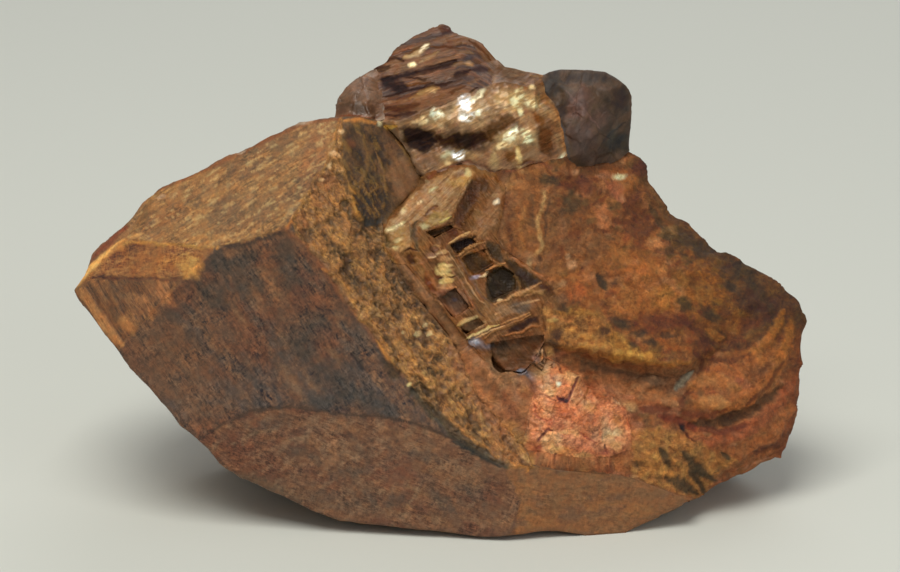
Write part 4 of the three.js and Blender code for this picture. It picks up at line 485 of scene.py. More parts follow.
    # golden rough shelf
    s.lay(s.patch([(545,312),(575,308),(600,314),(612,330),(640,350),(668,356),(650,364),(615,360),(585,352),(562,350),(548,340)], 3, 1.2), (184, 134, 70), (116, 80, 44), net=0.35, depth=0.9, amount=0.8, rise=0.05)
    s.veins(s.patch([(548,312),(580,308),(606,320),(640,350),(655,362),(615,360),(585,352),(556,348)], 3, 1), -20, 13, 9, 211, 0.34, (208, 152, 80), (156, 110, 60), rise=0.12, amount=0.55)
    for q in ((586,336,3,9,80),(584,346,7,3,0),(600,345,7,3,10),(644,357,8,3.4,-8),(622,355,8,3,-5),(630,352,4,3,0),(570,330,4,3,0),(585,338,3,3,0)):
        s.lay(s.spot(*q, 0.7), (224, 170, 88), (184, 130, 68), rise=0.07, amount=0.85)
    s.lay(s.spot(553, 320, 5, 2.6, 0, 0.3), (250, 200, 120), (228, 168, 92), gloss=0.7, rise=0.06)
    s.lay(s.stroke([(545,314),(556,318),(572,322)], 3), (206, 140, 76), (166, 110, 60), rise=0.05)
    for q in ((556,334,7,6,0),(552,344,8,5,-10),(563,308,6,4,0),(668,336,10,4,0),(652,343,8,4,-10),(640,334,7,4,0),(634,345,4,3,0),(604,330,6,4,0)):
        s.lay(s.spot(*q, 0.9), (70, 56, 46), (50, 42, 36), rise=-0.10, amount=0.8)
    for pts, w, c in (([(655,340),(675,347),(692,352)], 5, (158,92,50)), ([(612,354),(640,360),(668,364),(690,362)], 7, (176,120,62)), ([(700,340),(722,347),(745,346),(764,334)], 9, (84,58,36)), ([(706,330),(716,337),(724,344)], 8, (168,108,60)),
                      ([(676,318),(696,330),(712,346)], 6, (96,58,38)), ([(690,312),(712,325),(738,332)], 5, (150,96,58))):
        s.lay(s.stroke(pts, w, ragged=0.8), c, amount=0.75, rise=(0.05 if c[0] > 120 else -0.06))
    # recess under the shelf, with a painted grey highlight on its right and painted shade under the shelf's edge
    s.lay(s.patch([(560,355),(590,358),(612,364),(640,368),(668,370),(690,366),(698,350),(704,362),(698,380),(682,400),(664,394),(640,388),(618,380),(600,373),(580,372),(566,364)], 2.4, 0.8), (134, 94, 64), (98, 68, 48), depth=0.6, rise=0.10, amount=0.9)
    s.lay(s.spot(648, 381, 18, 6, -8, 0.7), (142, 112, 84), (108, 84, 64), amount=0.8)
    # painted highlight: grey shine in the recess
    s.lay(s.stroke([(676,391),(683,381),(691,371)], 8, ragged=0.5), (124, 118, 100), (94, 88, 74), gloss=0.5, rise=0.10)
    s.lay(s.stroke([(694,352),(702,362),(700,376),(690,392),(680,402)], 6, ragged=0.7), (104, 60, 40), (76, 46, 32), rise=-0.10, amount=0.85)
    # painted shade under the shelf's edge, along a shallow groove
    s.lay(s.stroke([(570,358),(600,368),(630,374),(668,376)], 5, ragged=0.8), (96, 66, 46), (70, 50, 36), rise=-0.05, amount=0.7)
    # light band below it, and the curved layers that sweep round the lower right
    s.lay(s.stroke([(596,376),(622,386),(650,394),(676,404)], 13, ragged=0.8), (166, 116, 74), (126, 86, 56), amount=0.8, rise=0.08)
    s.lay(s.spot(612, 384, 14, 7, -15, 0.9), (176, 120, 80), (134, 90, 60), amount=0.6)
    # the raised bands are painted 4% lighter and the sunken ones 6% darker: painted light and shade that follows their
    # relief
    for pts, w, c, r in (([(690,386),(712,380),(735,386)], 14, (166,110,62), .05), ([(695,402),(725,408),(752,398),(772,376),(786,345),(790,322)], 13, (166,104,56), .10), ([(742,358),(762,346),(776,328),(782,312)], 9, (170,108,60), .08),
                         ([(690,424),(716,423),(745,414),(762,403),(778,393),(792,384)], 10, (84,62,42), -.12), ([(684,412),(704,416),(724,410)], 8, (124,68,44), -.04), ([(660,416),(676,420),(694,428)], 10, (128,62,42), -.04),
                         ([(690,444),(720,440),(752,428),(778,405),(794,380)], 12, (144,82,52), .08), ([(700,430),(724,432),(745,426)], 7, (110,60,42), -.05), ([(684,452),(712,458),(744,452),(772,434),(792,408)], 12, (160,100,58), .08), ([(745,404),(768,386),(780,362)], 5, (120,72,42), -.05),
                         ([(704,474),(730,466),(756,458),(780,440)], 8, (134,82,46), .05), ([(650,432),(680,438),(700,448)], 8, (164,108,62), .04), ([(642,408),(655,410),(668,408)], 8, (116,62,42), -.06), ([(755,452),(775,446),(790,430)], 7, (112,66,38), -.05),
                         ([(712,368),(738,372),(757,362)], 7, (150,92,52), .03), ([(704,360),(730,362),(750,355)], 5, (110,66,42), -.05), ([(720,344),(738,338),(752,322)], 6, (112,70,42), -.04)):
        s.lay(s.stroke(pts, w, ragged=0.9, taper=0.4), [q * (1.04 if r > 0 else 0.94) for q in c], amount=0.85, rise=1.8 * r)
    s.lay(s.spot(714, 402, 15, 6, -5, 0.8), (192, 138, 80), (150, 102, 62), amount=0.85, rise=0.06)
    s.lay(s.spot(761, 361, 5, 6, 0, 0.6), (186, 122, 68), (146, 94, 54), amount=0.8)
    s.lay(s.spot(682, 427, 3, 4.4, 0, 0.3), (42, 26, 18), (30, 20, 16), rise=-0.15)
    s.lay(s.stroke([(683,431),(692,440),(706,450)], 2.4), (104, 56, 38), (76, 44, 32), rise=-0.06)
    s.lay(s.spot(700, 350, 8, 8, 0, 0.9), (92, 54, 34), (66, 42, 28), amount=0.7)
    # golden mottled corner at the bottom
    low = s.patch([(630,430),(660,428),(700,445),(735,460),(715,480),(696,500),(660,490),(632,480)], 4, 1.2)
    s.lay(low, (172, 122, 68), (108, 78, 46), net=0.35, depth=0.9, amount=0.75)
    s.veins(low, -40, 14, 9, 212, 0.34, (198, 146, 78), (142, 102, 56), rise=0.09, amount=0.55)
    for pts, w in (([(661,450),(666,458),(670,468)], 8), ([(682,452),(692,462),(704,474),(716,480)], 9), ([(668,478),(682,484),(696,494)], 12), ([(690,470),(700,482),(704,492)], 8), ([(632,462),(640,468)], 6), ([(722,452),(728,460)], 5)):
        s.lay(s.stroke(pts, w, ragged=0.9), (70, 60, 44), (48, 44, 34), rise=-0.10, amount=0.9)
    for q, c in (((643,485,8,3.4,0),(214,168,108)), ((655,458,5,4,0),(204,154,84)), ((664,470,5,6,-30),(206,152,82)), ((650,444,6,4,0),(186,136,76)), ((680,442,7,3,-20),(180,124,68)), ((634,478,4,2.4,0),(186,140,92)), ((672,474,4,3,0),(196,142,76)), ((610,465,7,3,0),(186,140,92)), ((580,470,8,3,0),(170,118,70))):
        s.lay(s.spot(*q, 0.7), c, amount=0.85, rise=0.05)
    s.lay(s.stroke([(530,462),(560,464),(590,462),(625,460),(640,468)], 6, ragged=1.0), (176, 124, 76), (130, 88, 56), amount=0.7)
    s.lay(s.stroke([(520,458),(532,466),(560,470),(600,474),(640,482),(690,499)], 3, ragged=0.6), (96, 66, 46), (70, 50, 38), amount=0.7, rise=-0.06)
    # red-brown smooth skin left of the feldspar and along the plates
    s.lay(s.patch([(474,350),(486,358),(498,376),(515,388),(530,400),(526,420),(520,440),(505,425),(488,408),(476,396),(468,374)], 2.5, 0.8), (156, 96, 62), (118, 72, 48), net=0, depth=0.5, amount=0.9)
    for q, c in (((487,372,14,8,-50),(168,102,68)), ((500,395,12,7,-50),(150,84,56)), ((512,412,8,8,0),(140,80,54)), ((492,400,8,4,-50),(182,124,80)), ((508,430,8,8,0),(172,118,68)), ((517,398,5,7,0),(172,112,80)), ((520,425,5,9,0),(122,78,56)), ((500,415,4,6,0),(122,74,50)), ((524,440,5,5,0),(196,136,76)), ((530,382,5,7,0),(130,84,60)), ((515,435,4,5,0),(112,92,72))):
        s.lay(s.spot(*q, 0.9), c, amount=0.8)

def tone_rock(s):
    whole = (np.arange(len(s.x)), np.ones(len(s.x)))
    right = smooth(660, 720, s.x) * smooth(345, 310, s.y)
    gold = smooth(345, 380, s.y)
    s.tone(whole, (.635,.61,.49), 0.98, 1.05)
    upper = smooth(275, 245, s.y) * smooth(625, 590, s.x) * smooth(540, 555, s.x)
    bright = smooth(595, 625, s.x) * smooth(700, 680, s.x) * smooth(255, 272, s.y) * smooth(320, 305, s.y)
    shelf = smooth(620, 600, s.x) * smooth(548, 560, s.x) * smooth(308, 320, s.y) * smooth(362, 350, s.y)
    skin = smooth(535, 520, s.x) * smooth(466, 476, s.x) * smooth(352, 366, s.y)
    sheet = smooth(470, 462, s.x) * smooth(245, 238, s.y)
    for m, g in ((right, (.75,.79,.53)), (gold, (1.17,1.14,1.36)), (upper, (.80,.85,.95)), (bright, (1.24,1.24,1.14)), (shelf, (.88,.80,1.0)), (skin, (1.08,1.33,1.40)), (sheet, (.865,.86,.93))):
        s.tint *= 1 + (np.array(g) - 1) * m[:, None]; s.dark *= 1 + (np.array(g) - 1) * m[:, None]

# ------------------------------------------------------------------ the middle: thin plates standing round dark glassy cells
def paint_middle(s):
    box = s.patch(LADDER, 2, 0.3)
    s.lay(box, (164, 120, 84), (100, 70, 48), gloss=0.4, net=0, depth=0.5); s.run(box, -54, 16, 2.0, 30)
    around = s.patch([(378,240),(384,212),(420,178),(452,158),(510,164),(548,176),(560,220),(560,300),(548,350),(500,392),(470,366),(430,318),(392,268)], 4, 0.8)
    s.lay(around, (150, 104, 68), (112, 76, 50), net=0, depth=0.45, amount=0.55)
    s.swell(around, -52, 20, 5, 301, 0.05)
    L, Sp, St, Pa = s.lay, s.spot, s.stroke, s.patch
    # the pale sheet at the upper left
    sheet = Pa([(384,236),(388,222),(400,211),(412,195),(428,182),(450,171),(468,168),(475,172),(470,186),(461,200),(455,206),(452,214),(449,222),(426,228),(418,222),(412,232),(410,248),(398,253),(388,248)], 1.6, 0.5)
    L(sheet, (188, 150, 110), (150, 112, 80), gloss=0.5, depth=0.3, rise=0.10); s.run(sheet, 42, 13, 2.0, 31)
    L(s.streaked(sheet, 42, 26, 4.5, 302, 0.0, 0.4), (206, 166, 128), (172, 132, 98), amount=0.8)
    L(s.streaked(sheet, 42, 22, 4, 303, 0.1, 0.4), (160, 116, 80), (124, 88, 62), amount=0.8)
    L(Sp(458, 182, 12, 5, 10, .6), (206, 162, 96), (170, 130, 78), amount=0.8)
    L(Sp(400, 236, 7, 9, 10, .6), (196, 160, 106), (160, 124, 82), amount=0.7)
    # painted highlights: glints on the pale sheet
    for q in ((392,229,6,2.4,18),(412,197,3.4,3,20),(426,180,3,2,0),(467,175,3,4.4,0),(425,226,4.4,3,0),(399,240,4,2,10),(402,224,5,2,30),(396,247,3,1.6,0),(432,190,5,1.8,25),(405,210,4,2,40),(420,202,4,1.8,30)):
        s.glint(*q, tint=(236, 206, 160), power=0.35)
    L(St([(424,216),(430,210),(437,207)], 3.6, soft=.8), (128, 84, 60), (100, 66, 48), rise=-0.04)
    L(Pa([(424,222),(434,212),(448,209),(450,216),(446,222),(434,226)], 1.2, .4), (182, 150, 96), (146, 116, 74), amount=0.8)
    # painted highlight: a golden glint along the sheet's lower edge
    L(St([(438,222),(446,219),(452,216)], 1.8), (240, 200, 124), (212, 166, 98), gloss=0.7, rise=0.06)
    L(St([(417,220),(414,232),(415,242),(419,252)], 5, ragged=0.5, soft=.8), (112, 92, 74), (88, 72, 58), rise=-0.06)
    L(St([(411,224),(411,240)], 2), (136, 118, 96), (104, 88, 72), amount=0.8)
    # second sheet, right of the dark wedge
    two = Pa([(500,182),(512,184),(502,196),(500,214),(492,228),(482,240),(470,238),(473,226),(484,209),(491,195)], 2, .7)
    L(two, (176, 130, 94), (138, 98, 70), gloss=0.45, depth=0.3); s.run(two, 50, 11, 2.2, 32)
    L(s.streaked(two, 50, 22, 4.5, 304, 0.05, 0.4), (196, 150, 110), (160, 120, 88), amount=0.8)
    L(Pa([(472,180),(480,184),(478,197),(471,207),(463,217),(461,228),(455,224),(457,208),(464,195)], 1.6, .7), (98, 72, 50), (76, 56, 42), rise=-0.10)
    L(Sp(482, 184, 7, 8, -30, .8), (96, 68, 50), (70, 50, 38), amount=0.7)
    L(Sp(470, 200, 6, 9, -30, .8), (84, 62, 48), (60, 46, 36), amount=0.6)
    # painted highlight on the second sheet, with a second bright spot beside it
    s.glint(497, 202, 3, 2.6, tint=(255, 240, 214), power=0.7)
    L(Sp(495, 195, 3.4, 2, 0, .3), (206, 162, 120), (176, 134, 96))
    L(Sp(478, 215, 6, 5, 40, .6), (180, 138, 94), (146, 110, 76), amount=0.7)
    # dark slits and boxes, seen between the plates
    dark = dict(gloss=0.42, depth=0.35, net=0)
    L(St([(427,233),(438,229),(448,225),(454,222)], 5, ragged=.2), (99, 62, 36), (68, 43, 26), **dark)
    L(St([(430,236),(436,233)], 2.4), (168, 134, 94), (136, 106, 74))
    L(Pa([(444,230),(452,226),(459,229),(458,236),(449,238)], 1.6, .7), (122, 76, 44), (88, 56, 34), **dark)
    L(Pa([(451,251),(451,244),(466,237),(476,237),(471,244),(460,249)], 1.1, .2), (68, 46, 31), (48, 34, 23), **dark)
    L(St([(449,244),(458,238),(469,232)], 2.2, ragged=.1), (224, 166, 100), (186, 130, 76), gloss=0.6, rise=0.12)
    L(St([(454,256),(464,251),(478,243),(484,240)], 2.2, ragged=.1), (168, 112, 66), (130, 84, 50), rise=0.12)
    L(Pa([(484,247),(492,240),(500,244),(503,254),(500,262),(494,258),(488,252)], 1.2, .3), (95, 71, 51), (68, 53, 38), **dark)
    L(Pa([(459,259),(470,251),(483,252),(493,262),(497,268),(486,275),(474,276),(466,268)], 1.2, .2), (160, 90, 38), (112, 62, 31), **dark)
    L(Pa([(470,263),(482,259),(492,266),(484,274),(474,274)], 1.4, .3), (82, 50, 28), (58, 37, 23), **dark)
    L(St([(484,247),(490,258),(500,265)], 3), (150, 104, 68), (116, 80, 54), rise=0.15)
    # painted highlight: a bluish-white glint
    s.glint(474, 277, 4, 2.4, tint=(170, 172, 210), power=0.4)
    L(St([(478,278),(484,276),(489,273)], 2), (236, 212, 168), (206, 178, 132), gloss=0.75, rise=0.1)
    L(St([(487,271),(495,267),(503,264)], 2.4), (232, 156, 76), (190, 122, 60), gloss=0.6, rise=0.12)
    L(Pa([(486,299),(486,284),(491,274),(502,268),(509,269),(516,276),(517,285),(511,292),(500,299),(492,302)], 1.2, .2), (65, 51, 46), (44, 34, 33), **dark)
    L(Pa([(505,259),(513,261),(528,270),(543,281),(530,286),(519,290),(513,291),(517,284),(514,274)], 1.2, .2), (75, 51, 31), (51, 37, 23), **dark)
    L(St([(516,276),(521,282),(522,290)], 3), (88, 60, 32), (62, 42, 26), rise=0.15)
    L(Sp(500, 284, 5, 8, -20, .5), (52, 42, 46), (36, 30, 36), amount=0.6)
    L(Sp(545, 288, 7, 3.4, -28, .4), (88, 59, 38), (65, 43, 31), **dark)
    L(St([(510,256),(528,267),(548,281)], 3), (176, 116, 74), (136, 90, 58), rise=0.12)
    L(St([(516,262),(534,272)], 1.6), (196, 132, 84), (160, 106, 68), rise=0.05)
    # lower left box, the bright stepped stack above it
    L(Pa([(424,272),(434,270),(440,282),(436,292),(430,294),(424,284)], 1.6, .6), (122, 66, 42), (88, 48, 32), rise=-0.1, amount=0.9)
    L(Pa([(434,292),(452,287),(463,291),(471,303),(467,312),(456,316),(445,306),(437,300)], 1.2, .2), (82, 53, 41), (54, 37, 31), **dark)
    L(Pa([(432,293),(440,289),(447,292),(446,300),(438,300)], 1.2, .4), (108, 62, 40), (78, 46, 32), rise=0.1)
    L(St([(463,289),(470,299),(473,308)], 2.2), (148, 80, 50), (112, 62, 40), rise=0.15)
    # painted highlights on the leaf edges of the stepped stack
    for k, (cx, cy, rx, ry, deg) in enumerate(((444,266,7,3,12),(445,271,8,2.6,8),(447,275,7,2.2,-4),(445,281,7.5,3,6),(441,253,6,2,14),(433,256,4,1.4,10),(436,247,4,1.6,10))):
        s.glint(cx, cy, rx, ry, deg, tint=(236, 200, 132) if k < 4 else (214, 176, 124), power=0.3)
    L(St([(437,278),(445,276),(452,278),(457,276)], 1.8), (110, 70, 44), (80, 52, 36), rise=-0.1)
    L(St([(428,262),(436,264),(440,272)], 2.6), (120, 84, 54), (90, 62, 42), amount=0.7)
    L(St([(404,250),(410,248),(418,251)], 2.4), (96, 62, 42), (70, 46, 34), rise=-0.08)
    L(Pa([(404,256),(411,253),(417,256),(417,263),(410,264)], 1.4, .4), (98, 64, 40), (68, 46, 30), rise=-0.15)
    L(Sp(433, 249, 4, 2.4, 0, .4), (104, 72, 50), (78, 54, 40), rise=-0.1)
    # long ribs running down to the right
    for pts, w, c, r in (([(450,247),(453,263),(464,279),(474,296),(486,314)], 7, (142,110,78), .12), ([(417,258),(430,276),(446,300),(463,326)], 5, (160,112,74), .10), ([(396,254),(410,274),(430,300),(452,328),(470,352),(492,380)], 6, (164,110,70), .10),
                         ([(458,250),(466,266),(478,286),(488,302)], 2.4, (172,132,92), .06), ([(405,264),(424,290),(446,318),(458,334)], 2.4, (120,82,54), -.08), ([(424,262),(438,284),(446,290)], 3, (150,104,66), .05), ([(470,300),(480,314),(488,322)], 5, (156,112,74), .06),
                         ([(472,352),(486,366),(502,384)], 4, (184,124,80), .06), ([(440,326),(452,340),(466,352)], 3, (140,104,66), .05)):
        L(St(pts, w, ragged=.5, taper=.3), c, rise=r, amount=0.85, gloss=0.45)
    # plates and slits of the lower half
    L(Pa([(486,296),(500,303),(512,300),(512,312),(500,322),(484,326),(478,316)], 2, .6), (172, 130, 88), (136, 100, 68), amount=0.85, rise=0.06)
    L(St([(497,303),(512,297),(530,290),(546,296)], 4, ragged=.5), (184, 138, 88), (144, 106, 68), rise=0.12)
    L(Sp(521, 307, 10, 6, 10, .6), (136, 118, 100), (102, 88, 76), amount=0.85)
    L(Sp(499, 301, 3, 2, 0, .2), (206, 186, 150), (176, 154, 122), gloss=0.6)
    L(St([(457,327),(466,320),(477,315)], 3.4, ragged=.3), (204, 170, 116), (166, 134, 90), rise=0.12)
    L(Pa([(462,327),(468,322),(478,319),(485,323),(479,328),(469,332)], 1.1, .2), (82, 62, 36), (58, 43, 26), **dark)
    # painted highlight along a plate edge
    L(St([(467,339),(480,332),(487,328),(500,324)], 2.6, ragged=.1), (244, 204, 138), (214, 170, 108), gloss=0.7, rise=0.15)
    L(St([(484,338),(496,331),(508,327),(531,315)], 2.4, ragged=.1), (186, 136, 88), (150, 106, 68), rise=0.12)
    L(St([(487,342),(500,335)], 2), (170, 122, 84), (136, 96, 66), rise=0.06)
    # painted highlights: two bluish glints, one inside the other
    s.glint(477, 341, 6, 4.6, tint=(132, 138, 156), power=0.45); s.glint(476.5, 340.5, 2.6, 2.2, tint=(176, 196, 206), power=0.5)
    L(Sp(481, 347, 8, 4, -20, .4), (112, 98, 96), (84, 72, 72), amount=0.7, gloss=0.7)
    L(Pa([(508,331),(519,324),(531,318),(538,316),(537,322),(526,328),(513,332)], 1.1, .2), (95, 59, 36), (65, 43, 28), **dark)
    L(St([(502,337),(520,332),(539,326)], 2.2, ragged=.1), (164, 102, 58), (128, 80, 48), rise=0.15)
    L(Pa([(488,344),(497,339),(511,338),(525,335),(539,331),(544,338),(542,352),(531,363),(522,371),(506,369),(495,359)], 1.3, .2), (92, 53, 33), (61, 37, 26), **dark)
    L(Sp(524, 352, 13, 9, 20, .6), (86, 52, 32), (60, 38, 26), amount=0.7)
    L(Sp(505, 346, 9, 4, 15, .5), (36, 30, 28), (26, 22, 22), amount=0.7)
    L(St([(512,339),(522,345),(528,356)], 1.8), (110, 68, 42), (80, 50, 34), amount=0.7)
    # painted highlights: a bluish glint, and a small bluish spot at (490, 345)
    s.glint(521, 371, 4.6, 2, tint=(120, 136, 146), power=0.3)
    L(Sp(490, 345, 2.6, 1.8, 0, .2), (150, 160, 172), (120, 128, 140), gloss=0.8)
    L(St([(533,356),(539,352),(545,351)], 3), (214, 176, 126), (178, 142, 100), gloss=0.6, rise=0.08)
    # right of the plates: smooth brown skin with upright grooves, and the pale vein
    L(Pa([(504,190),(530,184),(542,200),(538,222),(542,245),(530,262),(512,256),(502,238),(503,212)], 4, .8), (148, 96, 60), (112, 72, 46), amount=0.8, depth=0.35)
    for pts, w, c, r in (([(512,212),(508,228),(513,246)], 6, (120,78,48), -.08), ([(524,206),(520,228),(524,250)], 4, (166,110,66), .05), ([(532,196),(530,212),(534,226)], 6, (116,78,50), -.06), ([(500,216),(504,232),(506,246)], 3, (170,120,78), .04),
                         ([(545,192),(542,206),(538,220),(539,236),(543,246),(536,253),(528,260)], 4.2, (196,152,104), .07), ([(549,196),(546,214),(545,238)], 3, (104,72,50), -.05), ([(490,166),(505,180),(530,176)], 3, (110,70,46), -.05), ([(484,176),(500,180),(516,178)], 4, (150,98,62), .03)):
        L(St(pts, w, ragged=.6, taper=.4), c, rise=r, amount=0.85)
    for q, c in (((530,262,3,3,0),(206,170,128)), ((530,268,3,2.4,0),(186,146,104)), ((538,259,4,4,0),(84,60,44)), ((538,268,4,3,0),(84,58,42)), ((520,184,6,4,0),(176,120,78)), ((548,180,9,6,-20),(92,72,50)), ((535,182,5,4,0),(120,82,54)), ((507,187,8,3,20),(182,132,88)), ((519,170,3,2.4,0),(186,140,98)), ((511,171,2,2,0),(50,34,26)), ((515,198,6,8,0),(158,104,68)), ((548,300,8,4,-20),(150,106,72)), ((546,312,5,4,0),(206,150,92))):
        L(Sp(*q, .6), c, amount=0.8)

# the dark cells between the plates: outline, shade at the edge, shade in the middle, and how far in that is reached
CELLS = (
    (((451.5,245),(456,252.5),(462,250.5),(475.5,244.5),(473.5,237),(468.5,235.5),(460,239.5)), (66, 48, 31), (46, 35, 24), 2.6),
    (((484,247),(486,241),(491,239.5),(498,244),(503,254),(502,263),(497,262),(489,255)), (80, 59, 40), (64, 49, 34), 3.0),
    (((457,259),(466,251),(481,251),(493,262),(498,268),(486,275),(474,277),(465,269)), (112, 70, 36), (72, 51, 29), 4.0),
    (((486,299),(486,284),(490,274),(500,267.5),(509,267.5),(516,275),(517,285),(511,292),(500,299),(492,303)), (72, 56, 40), (48, 40, 27), 5.0),
    (((505,259),(513,261),(528,270),(543,281),(530,286),(519,290),(513,291),(517,284),(514,274)), (74, 53, 31), (60, 45, 26), 3.0),
    (((434,292),(452,287),(463,291),(471,303),(467,312),(456,316),(445,307),(437,300)), (134, 93, 66), (100, 77, 62), 6.0),
    (((462,327),(468,322),(478,319),(485,323),(479,328),(469,332)), (166, 128, 88), (132, 101, 72), 2.4),
    (((505,331),(514,326),(531,318),(538,316),(537,322),(526,328),(510,334)), (70, 46, 29), (54, 37, 24), 2.4),
    (((488,344),(497,339),(511,338),(525,335),(539,331),(544,338),(542,352),(531,363),(522,371),(506,369),(495,359)), (120, 78, 51), (98, 69, 48), 7.0),
    (((427,233),(438,228),(448,224),(456,221),(456,226),(444,232),(430,237)), (112, 78, 50), (74, 54, 37), 2.4),
    (((472,180),(480,184),(478,197),(471,207),(463,217),(461,228),(455,224),(457,208),(464,195)), (83, 53, 35), (65, 43, 30), 5.0))

def tone_cells(s):
    box = s.patch([(452,226),(470,240),(492,232),(514,252),(548,280),(553,297),(541,305),(545,345),(524,375),(498,373),(474,346),(445,304),(420,262),(430,240)], 4, .5)
    above = s.patch([(470,176),(500,182),(514,196),(510,240),(492,232),(462,232),(452,222),(462,200)], 4, .5)
    for (i, m), g in ((box, (.80,.78,.90)), (above, (.78,.78,.88))):
        k = 1 + (np.array(g) - 1) * m[:, None]
        s.tint[i] *= k; s.dark[i] *= k
    """the dark mineral in the cells: brown where it thins out at the plates, darker and a little bluish in the middle"""
    Pa, Sp = s.patch, s.spot
    for poly, tint, core, inner in CELLS:
        s.lay(Pa(poly, 1.8, .5), tint, [0.8 * c for c in tint], gloss=0.3, depth=0.3, net=0)
        i, m = s.near(min(q[0] for q in poly) - 2, min(q[1] for q in poly) - 2, max(q[0] for q in poly) + 2, max(q[1] for q in poly) + 2), None
        k = smooth(0.0, -inner, area(poly, s.wx[i], s.wy[i]) + 0.8 * s.grain[i])
        s.lay((i, k), core, [0.8 * c for c in core], gloss=0.3, depth=0.3)
    for q, c, a in (((470,261,5,7,0),(60,45,27),.6), ((484,266,6,4,-30),(58,42,25),.6), ((484,257,5,3,-30),(96,62,34),.7), ((461,258,4,4,0),(104,68,36),.5), ((505,291,8,5,0),(54,42,28),.6), ((500,346,10,5,10),(54,45,36),.85), ((491,346,3,3,0),(66,62,58),.8), ((497,353,6,6,0),(64,50,38),.7), ((520,340,9,4,14),(66,44,31),.6), ((526,356,12,8,20),(84,52,34),.6), ((534,345,7,6,0),(86,52,29),.75), ((512,364,9,4,10),(86,58,40),.7),
                    ((454,300,6,6,0),(72,56,48),.7), ((446,296,4,3,0),(62,50,34),.6), ((461,296,4,4,0),(92,64,48),.6), ((440,293,4,3,0),(104,64,46),.7), ((524,276,8,4,-30),(46,34,21),.6), ((532,281,6,3,-20),(46,35,22),.6), ((476,323,3,2,0),(80,60,40),.6), ((479,186,8,6,0),(78,54,38),.7), ((466,206,5,9,-20),(66,50,33),.6)):
        s.lay(Sp(*q, .9, .8), c, amount=a)
    St = s.stroke
    # the stroke from (468, 339) to (490, 328) is a painted highlight along a plate edge
    for pts, w, c, r in (([(450,243),(458,238.5),(470,232.5)], 2.0, (196,152,100), .05), ([(456,255),(466,250.5),(484,242)], 2.0, (166,120,76), .05), ([(460,257),(468,252.5),(474,250)], 1.6, (140,98,60), 0), ([(487,270.5),(496,266),(505,262.5)], 2.4, (178,124,78), .05), ([(478,278),(484,276),(489,272)], 2.2, (196,170,132), .05),
                         ([(484,246),(489,257),(497,265),(504,264)], 2.4, (128,90,58), .05), ([(515,275),(519,283),(519,291)], 2.2, (104,76,48), .05), ([(493,304),(502,302),(514,296),(528,289),(541,283)], 3.0, (170,126,84), .06), ([(497,300),(502,299)], 2.6, (204,178,134), 0), ([(512,257),(528,268),(545,281)], 2.0, (146,98,66), .05),
                         ([(437,287),(446,289),(456,287)], 2.0, (172,120,80), .05), ([(436,298),(446,308),(457,318)], 2.4, (150,104,74), .04), ([(464,290),(471,300),(474,310)], 2.4, (150,98,66), .04), ([(461,325),(468,320),(478,316)], 2.4, (186,156,106), .05), ([(468,339),(480,333),(490,328)], 2.0, (214,178,124), .06), ([(476,338),(490,331),(506,326)], 1.6, (196,152,104), .05),
                         ([(503,324),(516,319),(530,313)], 2.0, (168,120,76), .05), ([(505,336),(520,332),(540,324)], 2.0, (150,100,64), .04), ([(506,328),(519,322),(533,316)], 1.4, (112,72,46), -.04), ([(448,252),(458,266),(468,282),(478,298),(490,312)], 2.0, (150,114,80), .05), ([(444,256),(454,272),(464,288),(474,304),(484,318)], 1.8, (96,68,50), -.04),
                         ([(440,250),(450,266),(462,284),(472,300)], 2.0, (146,106,74), .03), ([(454,250),(464,266),(474,282),(482,296),(492,306)], 2.2, (104,76,58), -.03), ([(400,262),(414,280),(430,302),(446,324),(458,340)], 2.2, (168,122,82), .04), ([(408,262),(422,280),(438,304),(452,322)], 2.0, (92,64,44), -.05), ([(420,262),(432,280),(440,292)], 2.0, (150,98,64), .03),
                         ([(462,336),(474,350),(488,368),(500,384)], 2.6, (170,118,80), .04), ([(494,316),(508,309),(524,302),(538,300)], 2.2, (174,132,92), .04), ([(488,322),(502,316),(520,308)], 1.8, (128,94,66), -.03), ([(524,296),(538,292),(548,290)], 2.0, (150,108,70), .04)):
        s.lay(St(pts, w, ragged=.5, soft=.7, taper=.5), c, rise=r, amount=.85)
    # painted highlights among these spots: the bright leaf edges from (447, 266) to (442, 253) and at (445, 259), the
    # bluish glints at (477, 342), (478, 342), (521, 372) and (476, 277), and the glint at (496, 202)
    for q, c in (((447,266,5,2,10),(214,184,124)), ((446,270,6,2,6),(206,174,116)), ((447,275,6,2,-4),(198,164,106)), ((447,281,6,2.2,6),(200,164,104)), ((446,286,5,1.6,0),(168,126,82)), ((442,253,5,1.8,14),(168,134,92)), ((436,248,3,2,0),(112,80,62)), ((432,254,4,2,0),(130,92,70)), ((445,259,6,2,8),(170,130,88)),
                 ((477,342,5,3.4,0),(136,132,140)), ((478,342,2.4,2,0),(150,160,178)), ((486,346,5,2.6,-20),(98,88,92)), ((521,372,4,2,0),(118,122,134)), ((476,277,4,2,10),(150,142,158)), ((455,300,3,2.4,0),(66,62,70)), ((518,307,9,5,10),(98,80,66)), ((508,311,7,4,10),(130,98,70)), ((500,309,6,4,-10),(138,104,74)),
                 ((536,358,4,3,0),(150,112,96)), ((540,352,5,3,-10),(176,138,104)), ((535,262,6,3,-30),(128,92,62)), ((530,256,6,4,-30),(132,92,60)), ((540,270,4,3,0),(92,66,46)), ((546,288,7,4,-20),(70,46,31)), ((496,202,2.6,2.2,0),(226,190,150))):
        s.lay(Sp(*q, .7, .7), c, amount=.85)

